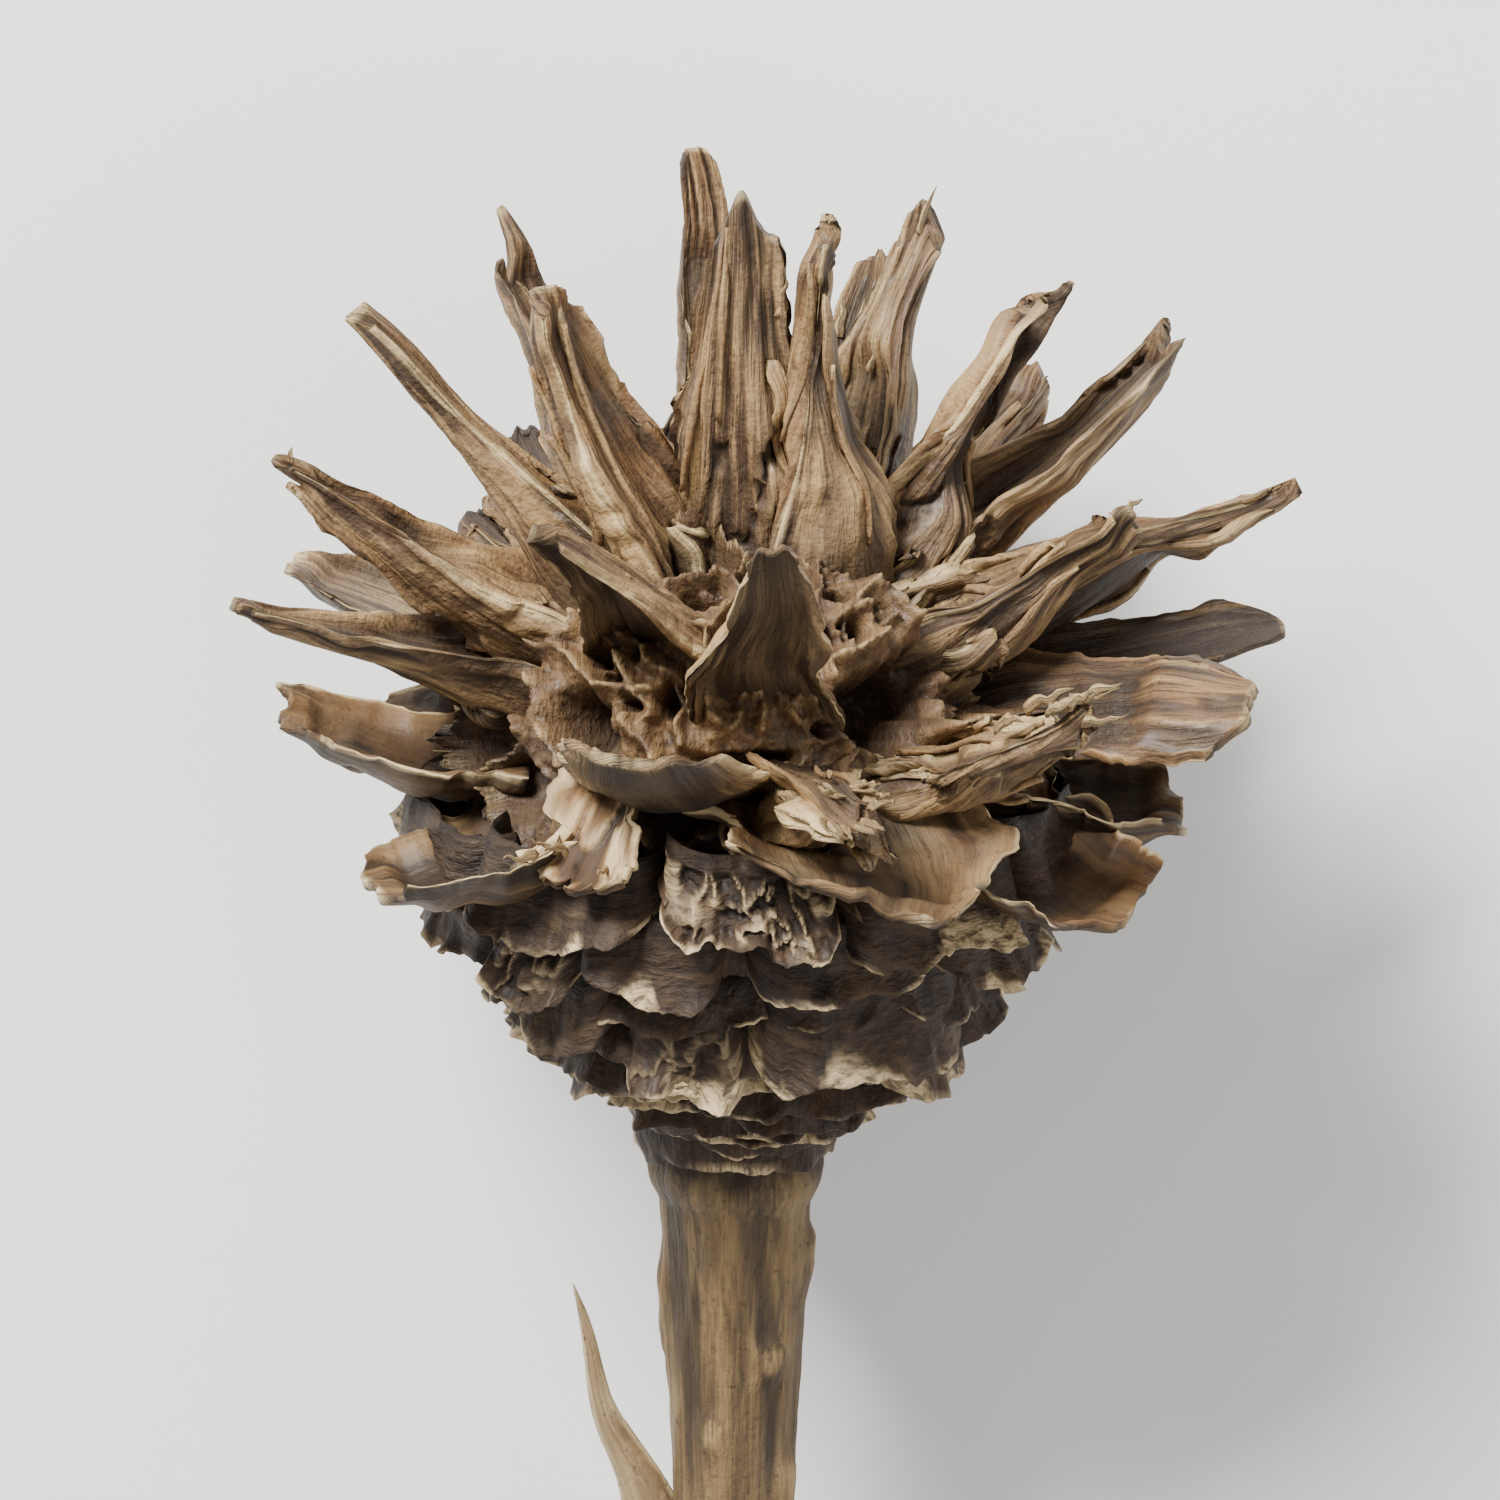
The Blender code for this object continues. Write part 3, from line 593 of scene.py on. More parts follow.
# Each crown bract that differs from the usual, by its number
CROWN_SHAPES = {
    # The blunt spike at the top, leaning left over the apex
    1: replace(
        CLEAN_PIPE, widths=(3.6, 3.2, 2.8, 2.4, 2.0, 1.8, 1.4), tip=(0.03, 0, 0, 0, 0.04), scoop=-1.0,
        scooped=(0.25, 0.8), sway=-1.0, warmth=0.35, strips=1,
    ),
    # The wide fibrous plank at the apex
    2: replace(
        CROWN_USUAL, widths=(5.8, 5.2, 4.6, 4.1, 3.6, 3.2, 2.6), thick=(1.8, 1.6, 1.5, 1.4, 1.3, 1.1, 0.8),
        tip=(0.16, 0.08, 0, 0.07, 0.09), scoop=0, fray=0.05, splay=0.3, relief=1.5, warmth=0.85, pale=0.4,
        slivers=1, strips=7,
    ),
    # The apex's right-hand plank, with two prongs
    3: replace(
        CROWN_USUAL, widths=(4.8, 4.4, 3.7, 3.1, 2.7, 2.3, 2.0), tip=(0, 0.07, 0.08, 0.03, 0), scoop=1.0,
        fray=0.03, sway=-0.6, roll=-15, twist=-10, relief=1.3, warmth=0.6, slivers=0, strips=3,
    ),
    # Wispy end, smooth brown face
    4: replace(
        CROWN_USUAL, widths=(5.2, 4.8, 3.8, 2.8, 2.1, 1.7, 1.4), scoop=-1.1, scooped=(0.15, 0.6), fray=0.1,
        splay=0.6, warmth=0.45, pale=0.3, strips=2,
    ),
    # Forked tip, dark hollow on its outer face
    5: replace(
        CROWN_USUAL, widths=(5.2, 4.0, 2.9, 2.4, 2.0, 1.8, 1.5), tip=(0.02, 0.16, 0.12, 0.04, 0), scoop=2.4,
        scooped=(0.3, 0.97), shade=0.65, fray=0.05, splay=0.5, roll=46, relief=0.8, warmth=0.6, slivers=2,
        strips=1,
    ),
    # The fan's inner bract, orange and streaked
    6: replace(
        CROWN_USUAL, widths=(5.4, 5.0, 4.2, 3.6, 3.0, 2.4, 1.4), tip=(0.16, 0.05, 0, 0.03, 0.07), scoop=-0.7,
        fray=0.02, splay=0.1, roll=50, relief=1.2, warmth=0.85, slivers=1, strips=6,
    ),
    # The fan's outer bract, with two points and a grey hollow
    7: replace(
        HALF_PIPE, widths=(5.2, 4.6, 3.9, 3.3, 2.8, 2.5, 2.1), thick=(2.0, 1.8, 1.5, 1.2, 0.9, 0.6, 0.4),
        tip=(0.36, 0, 0.18, 0.12, 0.18), scoop=-1.8, scooped=(0.2, 0.9), fray=0.01, splay=0.1, relief=0.8,
        warmth=0.55, slivers=0, strips=1,
    ),
    # A bare finger with a knobbed end
    8: replace(
        CROWN_USUAL, widths=(5.0, 3.6, 2.2, 1.4, 1.1, 1.25, 1.0), thick=(1.8, 1.6, 1.3, 1.1, 1.0, 1.2, 0.9),
        tip=(0.04, 0, 0, 0, 0.05), scoop=0, fray=0.01, splay=0, notch=0.25, bow=0.5, relief=0.45, warmth=0.7,
        slivers=0, stumps=1, strips=0,
    ),
    9: replace(BACK_SPIKE, fray=0.3, slivers=1),
    10: replace(BACK_SPIKE, warmth=0.3),
    # The front spike: a dark hollow face between raised edges
    11: replace(
        CLEAN, widths=(4.4, 4.4, 4.2, 3.7, 3.0, 2.4, 1.7), thick=(1.6, 1.3, 1.1, 0.9, 0.8, 0.6, 0.4),
        cup=(-1.0, -1.2, -1.3, -1.2, -0.8), tip=(0.04, 0.09, 0.12, 0.08, 0), scoop=1.5, scooped=(0.1, 0.99),
        shade=0.25, notch=0.15, relief=0.4, warmth=0.45, stumps=0, strips=0, lean=(3.6, 1.6),
        shift=(0, 0, 0.4),
    ),
    # Left of the front spike, with a dark hollow face
    12: replace(
        CLEAN, widths=(5.6, 5.2, 4.4, 3.3, 2.3, 1.6, 1.0), thick=(1.6, 1.3, 1.1, 0.9, 0.8, 0.7, 0.6),
        cup=(-1.2, -1.4, -1.2, -0.8, -0.3), scoop=1.2, scooped=(0.1, 0.99), shade=0.4, notch=0.2, sway=0.8,
        relief=0.8, stumps=0, strips=1,
    ),
    # Long and pointed, at the left, with a smooth hollow in its upper face
    13: replace(
        CLEAN_PIPE, widths=(5.4, 4.6, 3.6, 2.9, 2.2, 1.4, 0.7), thick=(2.0, 1.8, 1.5, 1.2, 0.9, 0.7, 0.5),
        scoop=-1.4, scooped=(0.35, 0.9), shade=0.3, roll=8, warmth=0.45, strips=2,
    ),
    # A thin hooked paddle
    14: replace(
        HALF_PIPE, widths=(5.2, 4.2, 3.0, 2.2, 1.8, 1.6, 1.5), tip=(0, 0.05, 0.07, 0.03, 0), scoop=-1.6,
        scooped=(0.25, 0.97), shade=0.45, fray=0.02, splay=0.2, hook=0.5, roll=-15, relief=0.8, warmth=0.35,
        slivers=0, strips=1,
    ),
    # A knobbed stub
    15: replace(
        CROWN_USUAL, widths=(5.2, 4.8, 3.8, 3.0, 2.4, 2.1, 1.6), tip=(0.05, 0, 0.03, 0.06, 0.12), fray=0.1,
        splay=0.7, slivers=1,
    ),
    16: replace(BACK_SPIKE, fray=0.2, splay=0.2, slivers=0),
    # Broken off, with pale loose fibres
    17: replace(BACK_SPIKE, tip=(0.34, 0.26, 0.24, 0.3, 0.36), fray=0.2, splay=0.8, pale=0.9, slivers=0),
    18: BACK_SPIKE,
    19: BACK_SPIKE,
    # Long, with a thin broken point
    20: replace(
        CROWN_USUAL, widths=(5.8, 6.2, 6.4, 5.8, 3.4, 1.0, 0.6), tip=(0.1, 0.03, 0, 0.05, 0.12), scoop=1.6,
        scooped=(0.1, 0.72), shade=0.6, fray=0.05, splay=0.3, roll=38, relief=0.9, warmth=0.75, slivers=1,
        strips=3,
    ),
    # A smooth grey rounded blade
    21: replace(
        CROWN_USUAL, widths=(4.8, 4.4, 3.8, 3.6, 3.7, 3.4, 2.2), thick=(1.4, 1.1, 0.9, 0.7, 0.6, 0.5, 0.4),
        cup=(2.0, 1.0, 0.4, 0.4, 0.5), tip=(0.22, 0.04, 0, 0.03, 0.16), scoop=-0.7, scooped=(-0.1, 1.3),
        shade=0.8, fray=0.01, splay=0, roll=-22, relief=0.3, warmth=0, slivers=0, strips=0,
    ),
    # A broad rounded orange-tan blade
    22: replace(
        CLEAN, widths=(4.4, 4.2, 4.2, 4.5, 4.8, 4.6, 3.2), thick=(1.6, 1.4, 1.1, 0.9, 0.8, 0.7, 0.5),
        cup=(2.6, 1.2, 0, -1.2, -1.6, -1.4), tip=(0.12, 0, 0, 0, 0.1), scoop=-0.7, scooped=(-0.1, 0.72),
        shade=0.75, bow=0.8, roll=-30, relief=0.4, growth=0.1, warmth=1.0, strips=0, lean=(0.5, 1.2),
    ),
    # Long and torn to pale fibre on its upper face
    23: replace(
        CROWN_USUAL, widths=(5.6, 5.4, 5.0, 4.6, 4.0, 3.2, 2.0), cup=(2.4, 1.2, 0.4, 0.2, 0), scoop=0,
        fray=0.2, splay=1.0, notch=0.3, bow=-0.8, relief=1.5, pale=0.85, slivers=8, stumps=0, strips=9,
        lean=(2.6, 0.6),
    ),
    # The torn fringe at the front
    24: replace(
        CROWN_USUAL, widths=(4.4, 3.9, 3.2, 2.6, 2.1, 1.6, 1.0), cup=(1.4, 0.4, -0.6, -1.2, -1.4),
        scoop=-0.5, scooped=(-0.1, 1.3), shade=0.5, fray=0.25, splay=1.6, notch=0.45, hook=-1.5, relief=3.4,
        warmth=0.65, lip=(0.12, 0.7), slivers=26, stumps=0, strips=5,
    ),
    # The wide cup at the front: a smooth dark underside and a bright lip
    25: replace(
        CROWN_USUAL, widths=(5.4, 6.4, 6.8, 6.8, 6.4, 5.8, 4.8), thick=(1.2, 0.9, 0.7, 0.6, 0.5, 0.45, 0.4),
        cup=(2.6, 2.8, 2.8, 2.4, 2.0), scoop=0.5, scooped=(0.1, 1.0), shade=0.6, fray=0.05, splay=0.2,
        bow=-2.6, hook=0.8, relief=0.25, growth=0.06, warmth=0.2, pale=0.25, lip=(0.5, 0.8), slivers=0,
        stumps=0, strips=0,
    ),
    # Long, flat and lowest on the left
    26: replace(
        CLEAN_PIPE, widths=(6.0, 5.4, 4.4, 3.4, 2.5, 1.8, 0.9), thick=(1.5, 1.3, 1.0, 0.8, 0.7, 0.55, 0.4),
        scoop=-0.9, scooped=(0.2, 0.95), relief=0.6, warmth=0.3, strips=1,
    ),
    # Broad and rounded
    27: replace(
        CLEAN, widths=(5.2, 5.0, 4.8, 4.6, 4.5, 4.2, 3.0), thick=(1.3, 1.0, 0.8, 0.7, 0.6, 0.5, 0.4),
        cup=(2.2, 1.4, 0.9, 0.8, 0.8), tip=(0.12, 0, 0, 0, 0.12), relief=0.4, warmth=0.7, pale=0.3, strips=0,
    ),
    28: BACK_SPIKE,
}

RIM_USUAL = Shape(
    widths=(6.0, 6.8, 7.2, 7.0, 6.2, 4.4), thick=(1.2, 0.9, 0.65, 0.5, 0.45, 0.4), cup=(3.0, 3.2, 2.8, 2.0),
    tip=(0.08, 0, 0.02, 0, 0.1), scoop=-0.8, scooped=(0.1, 0.86), shade=0.5, fray=0.07, splay=0.3,
    notch=0.22, bow=-0.8, relief=0.5, growth=0.12, warmth=0.4, lip=(0.35, 0.5), slivers=0, stumps=0,
    strips=0, lean=(-2.0, 1.5), rows=48, around=76,
)

# Each rim bract that differs from the usual, by its number
RIM_SHAPES = {
    1: replace(
        RIM_USUAL, widths=(5.4, 5.8, 5.8, 5.6, 5.0, 3.8), cup=(2.6, 2.2, 1.6, 1.2),
        tip=(0, 0, 0, 0.06, 0.16), warmth=0.6, lean=(-1.0, 0),
    ),
    # The big dark cup with a cream lip
    2: replace(
        RIM_USUAL, widths=(6.4, 8.0, 8.6, 8.4, 7.6, 5.6), cup=(2.2, 2.6, 2.2, 1.6), scoop=-1.2, shade=0.8,
        fray=0.04, bow=-1.4, warmth=0.2, lip=(0.25, 0.8), lean=(-2.0, 4.5), shift=(-9.0, 4.0, 0),
    ),
    # The big tan scale, cut off aslant: a crisp lip below, a ragged side to the right
    3: replace(
        RIM_USUAL, widths=(6.4, 8.2, 9.2, 9.4, 9.0, 7.4), cup=(1.8, 1.6, 1.0, 0.4),
        tip=(0.34, 0.2, 0.08, 0, 0.1), fray=0.03, bow=0.6, twist=26, relief=0.35, growth=0.16, warmth=0.75,
        pale=0.15, lip=(0.35, 0.4), lean=(-3.0, 2.0),
    ),
    4: replace(
        RIM_USUAL, widths=(6.2, 7.2, 7.4, 7.2, 6.6, 5.4), tip=(0.1, 0.04, 0, 0.02, 0.05), notch=0.3,
        warmth=0.7, lean=(-2.5, 3.0),
    ),
    5: replace(RIM_USUAL, warmth=0.15),
    # A cream piece, torn to its fibres
    12: replace(
        RIM_USUAL, widths=(1.9, 2.3, 2.9, 3.5, 3.5, 2.5), cup=(1.6, 1.0, 0.5, 0.2),
        tip=(0.22, 0, 0.1, 0.02, 0.3), scoop=-0.3, scooped=(-0.1, 0.2), shade=0.85, fray=0.3, splay=1.0,
        notch=0.55, bow=0.4, relief=2.0, warmth=0.9, pale=1.0, slivers=4, lean=(-5.0, 4.5),
        shift=(-16.0, 0, 0.3),
    ),
}


def moved(blade, east, south, out):
    """A blade turned by degrees east about the head's axis and south to the stem, and moved out in mm."""
    b, a = math.radians(east), math.radians(-south)
    about = np.array([[math.cos(b), 0.0, -math.sin(b)], [0.0, 1.0, 0.0], [math.sin(b), 0.0, math.cos(b)]])
    across = blade.across / np.linalg.norm(blade.across)
    step = unit(blade.tip - blade.root) * out

    def turned(v):
        """v turned south about across by Rodrigues' formula, then east about the head's axis."""
        v = v * math.cos(a) + np.cross(across, v) * -math.sin(a) + across * (across @ v) * (1 - math.cos(a))
        return v @ about

    return Blade(turned(blade.root + step), turned(blade.tip + step), turned(blade.across))


def add_bracts(nodes, shapes, usual, finish, slot, sizes, first_seed):
    """One piece for each bract's solid: its split blade, its splinters and the stumps at its foot."""
    for number, node in enumerate(nodes, 1):
        shape, seed = shapes.get(number, usual), first_seed + SEED_STEP * number
        blade = moved(blade_of(node), *shape.shift)
        patches = [bract_patch(blade, shape, seed, sizes)] + slivers_of(blade, shape, seed + 9)
        patches += strips_of(patches[0], shape, seed + 3)
        patches += stumps_of(blade, shape.stumps, seed + 5, sizes)
        name = node.replace("bract", "split_bract")
        add_piece(name, join(patches), finish, slot, node)


# ---------------------------------------------------------------- broken scales

# Scales on the best side, by their solid. For each: the bearing and latitude of its lip's lowest point, how
# far that stands from the head's centre, half the scale's width, its rise in degrees, and how torn it is
BEST_SIDE = {
    "upper_scale_01": ((2, -11.5, 25.0, 7.0, 13, 0.8),),
    "upper_scale_02": ((38, -17.0, 24.6, 8.4, 14, 0.0), (20, -24.0, 23.8, 7.0, 12, 0.0)),
    "upper_scale_03": ((74, -17.0, 24.9, 8.4, 14, 0.0), (56, -25.5, 24.4, 8.0, 13, 0.0)),
    "upper_scale_09": ((-70, -17.0, 23.9, 8.2, 14, 0.0), (-66, -26.0, 23.4, 7.0, 13, 0.0)),
    "upper_scale_10": (
        (-34, -15.0, 24.0, 8.0, 13, 0.0), (-41, -27.0, 24.3, 3.9, 12, 0.6), (-16, -22.0, 24.0, 5.5, 11, 0.0),
    ),
    "lower_scales_a": ((29, -39.5, 25.2, 9.6, 13, 0.0), (-39, -37.0, 24.2, 4.4, 12, 0.1)),
    "lower_scales_b": ((-12, -44.5, 25.0, 4.8, 12, 0.4), (48, -47.0, 25.6, 5.6, 13, 0.0)),
}

BOWL_ASIDE = 1.1  # how far the bowl's middle stands right of the head's axis

# Ragged skirts that go all round the bowl, by their ring: the lip's depth, and its distance from the axis
SKIRTS = {
    "lower_scales_a": ((13.3, 19.1), (16.2, 17.6)),
    "lower_scales_b": ((18.8, 15.9), (21.0, 13.9)),
    "lower_scales_c": ((22.6, 11.8), (23.8, 10.1), (24.8, 8.5)),
}


def skin_loop(around, power):
    """A loop round a thin skin's section: its angles, how far down each is, and 1 outside, -1 inside."""
    loop = ring_angles(around)
    return loop, ((1 + np.cos(loop)) / 2) ** power, np.where(np.sin(loop) >= 0, 1.0, -1.0)


def pale_lip(wide, down, patchy):
    """How pale a skin's lip is: full at the hem, gone a width above it, and missing where patchy is low."""
    return smooth(1 - wide, 1 - 0.3 * wide, down) * smooth(-0.3, 0.15, patchy)


def shelf_patch(bearing, latitude, reach, half, rise, torn, seed):
    """A broken scale on the bowl: a thin shelf that hugs the bowl above and stands off it at its lip.

    A loop round the section gives both faces. The distance out grows with a power of the way down to
    the lip, which curls out, and to both sides the shelf sinks into the bowl. The lip is a U, ragged by
    layered noise. A torn scale's face is open: ridged flesh whose gaps are painted dark as shade.
    Painted shade also darkens each shelf towards its top, under the one above, and on its inner face.
    """
    rows, around = (110, 64) if torn > 0.2 else (44, 22)
    pick = picks(4, seed)
    u = np.linspace(-1, 1, rows)[:, None]
    loop, down, side = skin_loop(around, 0.6)
    along = u * half
    ragged = 0.6 * layered(along / 3.2, 0, 0, seed, 4) + 0.25 * ridged(along / 0.9, 4, 0, seed + 1)
    ragged = ragged + 0.5 * torn * layered(along / 0.9, 4, 0, seed + 1, 2)
    sag = (0.5 + 2.0 * pick[0]) * np.abs(u) ** 2.5 + 4.0 * (pick[1] - 0.5) * u
    level = latitude + sag + rise * (1 - down) - 3.2 * ragged * down**3
    east = bearing + np.degrees(along / (reach * np.cos(np.radians(level))))
    sink = 1 - np.abs(u) ** (7 + 4 * pick[2])
    stand = (reach - BOWL_RADIUS) * (0.12 + 0.88 * down**1.8) * sink - 2.2 * (1 - sink)
    curl = (0.5 + 0.5 * pick[3] + 0.6 * noise(along / 1.7, 0, 0, seed + 2)) * down**9 * sink
    wave = 0.45 * layered(along / 3, down * 2, 0, seed + 3, 4)
    wave = wave + 0.12 * noise(along / 0.7, down * 3, 0, seed + 4)
    bend = [0.9 * layered(along / 2.2, level / 5, k, seed + 9, 3) for k in (0, 5)]
    flesh = ridged(along / 1.5 + bend[0], level / 3.4 + bend[1], 0, seed + 5)
    open_face = torn * (side > 0) * smooth(0.2, 0.35, down) * smooth(0.97, 0.88, down)
    thick = (0.5 - 0.22 * down) * np.abs(np.sin(loop)) ** 0.6
    radius = BOWL_RADIUS + stand + curl + wave * sink + 1.5 * open_face * (flesh - 0.8) + side * thick
    points = outward(east, level) * radius[..., None]
    wide = 0.05 + 0.3 * smooth(0.2, 0.6, noise(along / 3.2, 2, 0, seed + 7))
    frayed = down + 0.03 * noise(along / 0.8, down * 4, 0, seed + 6)
    lip = pale_lip(wide, frayed, noise(along / 2.6, 2, 0, seed + 7))
    crest = 0.5 + 0.35 * noise(along / 0.9, down * 2.5, side, seed + 8)
    crest = crest + open_face * (np.clip(flesh, 0, 1) - crest)
    pale = np.maximum(lip, 0.9 * open_face * smooth(0.55, 0.95, flesh))
    # Painted shade: darker towards the shelf's top and on its inner face, and in the gaps of open flesh
    deep = (0.45 + 0.55 * smooth(0.25, 0.75, down)) * np.where(side > 0, 1.0, 0.5)
    deep = deep * (1 - 0.6 * open_face * smooth(0.6, 0.3, flesh))
    wear_and_shade, tone = columns(pale, 0.0, crest), columns(0.2 + 0.5 * torn, deep, np.where(side > 0, 0.8, 0.2))
    grain = columns(level / 2.4, along + seed % 13)
    return Patch(points.reshape(-1, 3), *strip_capped(rows, around), grain, wear_and_shade, tone)


def add_scales(finish):
    """A piece of hanging shelves for each upper scale's solid, and of skirts and shelves for each ring's."""
    for number, node in enumerate(numbered("upper_scale") + numbered("lower_scales")):
        seed, skirts = 9000 + SEED_STEP * number, SKIRTS.get(node, ())
        shelves = BEST_SIDE.get(node, ())
        if not shelves and not skirts:
            bearing = 36 * number + 4
            far = 24.2 + 0.8 * math.sin(math.radians(bearing))
            shelves = (bearing, -16.0, far, 8.6, 14, 0.0), (bearing + 18, -25.0, far - 0.6, 8.2, 13, 0.0)
        patches = [shelf_patch(*shelf, seed + 31 * k) for k, shelf in enumerate(shelves)]
        patches += [
            skirt_patch(depth - 4.2, depth, far - 2.2, far, seed + 500 + 13 * k, 0.7, 0.07 * far, BOWL_ASIDE)
            for k, (depth, far) in enumerate(skirts)
        ]
        add_piece("torn_" + node, join(patches), finish, "scale_wood", node)


# ---------------------------------------------------------------- receptacle

# Hollows on the best side: bearing, latitude, half width and half height in degrees, turn, depth
HOLLOWS = (
    (-51, 38, 4.2, 4.3, 0, 3.5), (-35, 36, 3.6, 2.4, 10, 3.0), (-30, 32, 2.6, 1.6, 0, 3.0),
    (-34, 22, 9.5, 5.4, 35, 4.6), (-15, 29, 2.6, 3.4, 0, 3.5), (-59, 40, 4.0, 3.0, 0, 3.0),
    (-15, 52, 6.2, 3.4, 5, 4.0), (36, 26, 15.0, 7.8, -8, 6.5), (52, 31, 8.9, 4.2, -25, 3.0),
    (18, 23, 2.3, 1.9, 40, 3.0), (2, 18, 10.0, 1.8, 0, 3.0), (31, 42, 3.3, 3.2, -30, 3.5),
    (12, 64, 4.2, 4.3, 0, 4.0), (35, 51, 3.4, 2.4, 0, 3.5), (-24, 27, 2.3, 1.9, 0, 2.5),
    (-26, 39, 1.9, 2.9, 0, 2.0), (41, 44, 2.7, 2.0, -20, 3.0), (-54, 24, 5.0, 2.4, 25, 3.0),
    (59, 16, 4.8, 1.6, -8, 3.0), (-38, 57, 5.0, 3.7, 30, 3.0), (22, 40, 1.6, 4.4, 10, 3.0),
)

NECK = ((20.5, 8.3), (22.5, 7.4), (25.0, 6.4), (28.0, 5.5))  # depth and radius of the rings under the bowl

# Crests between the hollows: points of each as bearing, latitude and distance out
CRESTS = (
    ((-28, 47, 22.0), (-19, 43, 22.5), (-11, 42, 22.5), (-6, 42, 22.5), (-2, 45, 23.5)),
    ((-8, 41, 22.0), (-7, 36, 21.5), (-6, 31, 21.0), (-5, 25, 20.5)),
    ((10, 36, 20.5), (13, 31, 20.5), (16, 26, 20.5), (18, 22, 21.0), (22, 19, 21.5)),
    ((-18, 35, 20.5), (-14, 31, 20.5), (-11, 27, 20.5), (-10, 22, 20.5)),
    ((3, 33, 19.6), (-3, 24, 19.8)), ((4, 33, 19.6), (4, 23, 19.8)), ((5, 33, 19.6), (11, 24, 19.8)),
    ((-40, 45, 20.5), (-25, 39, 20.5), (-20, 36, 20.5)),
    ((-51, 33, 21.5), (-40, 32, 21.0), (-31, 29, 21.0), (-22, 29, 20.5), (-19, 30, 20.5)),
    ((-37, 38, 20.5), (-34, 41, 20.5), (-29, 36, 20.5), (-25, 32, 20.5), (-22, 29, 20.5)),
    ((-42, 40, 21.0), (-42, 36, 21.0), (-46, 33, 21.5)),
    ((-25, 25, 21.0), (-22, 21, 21.0), (-16, 18, 21.5)),
    ((-49, 27, 21.0), (-44, 20, 20.5), (-38, 16, 20.5)),
    ((21, 33, 20.5), (20, 38, 20.5), (20, 45, 20.5), (16, 47, 21.0)),
    ((28, 39, 20.0), (32, 45, 20.0), (38, 45, 20.5), (43, 41, 20.5)),
    ((40, 47, 20.0), (45, 48, 20.5), (47, 43, 20.5), (48, 39, 21.0)),
    ((-22, 29, 20.5), (-19, 26, 20.5), (-21, 23, 20.5), (-18, 18, 21.0)),
    ((22, 36, 20.5), (30, 37, 20.5), (37, 38, 21.0)),
)


FEET_APART = 36  # most degrees between two bracts' feet that share a crest


def webs():
    """A crest between each two neighbouring bracts elsewhere: those with no third bract nearer to both.

    It sags between the two feet by a power of the distance from the middle.
    """
    feet = np.array([unit(blade_of(node).root) for node in numbered("crown_bract") + numbered("rim_bract")])
    apart = np.degrees(np.arccos(np.clip(feet @ feet.T, -1, 1)))
    made = []
    for i in range(len(feet)):
        for j in range(i + 1, len(feet)):
            between = np.maximum(apart[i], apart[j])
            between[[i, j]] = 999
            middle = unit(feet[i] + feet[j])
            bearing = math.degrees(math.atan2(middle[0], middle[2]))
            has_listed_crests = abs(bearing) < 50 and 0.1 < middle[1] < 0.78
            if apart[i, j] > min(FEET_APART, between.min() * 1.02) or has_listed_crests:
                continue
            level = 1 - abs(feet[i, 1] - feet[j, 1]) / np.linalg.norm(feet[i] - feet[j])
            place = np.linspace(0, 1, 5)[:, None]
            line = unit((1 - place) * feet[i] + place * feet[j])
            made.append(line * (16 + (3.0 + 5.0 * level) * np.abs(2 * place - 1) ** 1.7))
    return made


def crest_height(direction, crests, floor):
    """How high the crests stand over the floor in each direction, and how near the nearest crest is.

    A crest's own height falls off by two exponentials of the angle from it, a steep one and a slow one.
    Where several stand, their heights are joined by an eighth-power mean.
    """
    total, near = 0.0, 0.0
    for crest in crests:
        best = 0.0
        for start, end in zip(crest, crest[1:]):
            low, high = np.linalg.norm(start), np.linalg.norm(end)
            run = end / high - start / low
            from_start = direction - start / low
            t = np.clip(from_start @ run / (run @ run), 0, 1)
            off = np.degrees(np.linalg.norm(from_start - t[..., None] * run, axis=-1))
            off = np.hypot(off, 0.5) - 0.5
            share = 0.6 * np.exp(-off / 1.0) + 0.4 * np.exp(-off / 4.5)
            best = np.maximum(best, np.maximum(low + t * (high - low) - floor, 0) * share)
            near = np.maximum(near, share)
        total = total + best**8
    return total**0.125, near


def hollow_depth(bearing, latitude, rough):
    """How deep the listed hollows go in each direction: full inside an ellipse, soon nothing outside."""
    depth = 0.0
    for east, north, wide, high, turn, deep in HOLLOWS:
        across, up = (bearing - east) * math.cos(math.radians(north)), latitude - north
        c, s = math.cos(math.radians(turn)), math.sin(math.radians(turn))
        far = np.hypot((across * c - up * s) / wide, (across * s + up * c) / high) + rough
        depth = np.maximum(depth, deep * (1 - smooth(0.55, 1.2, far)))
    return depth


def pit_centres():
    """Unit directions of the pits on the dome: a sunflower spiral, each nudged off its place."""
    number = np.arange(PITS)
    latitude = np.degrees(np.arcsin(1 - (number + 0.5) / PITS * 1.3))
    nudge = [noise(number * 1.7, k, 0, 41) for k in (1, 5)]
    east = 11 * nudge[0] / np.maximum(np.cos(np.radians(latitude)), 0.2)
    return outward(number * GOLDEN_ANGLE + east, latitude + 6 * nudge[1])


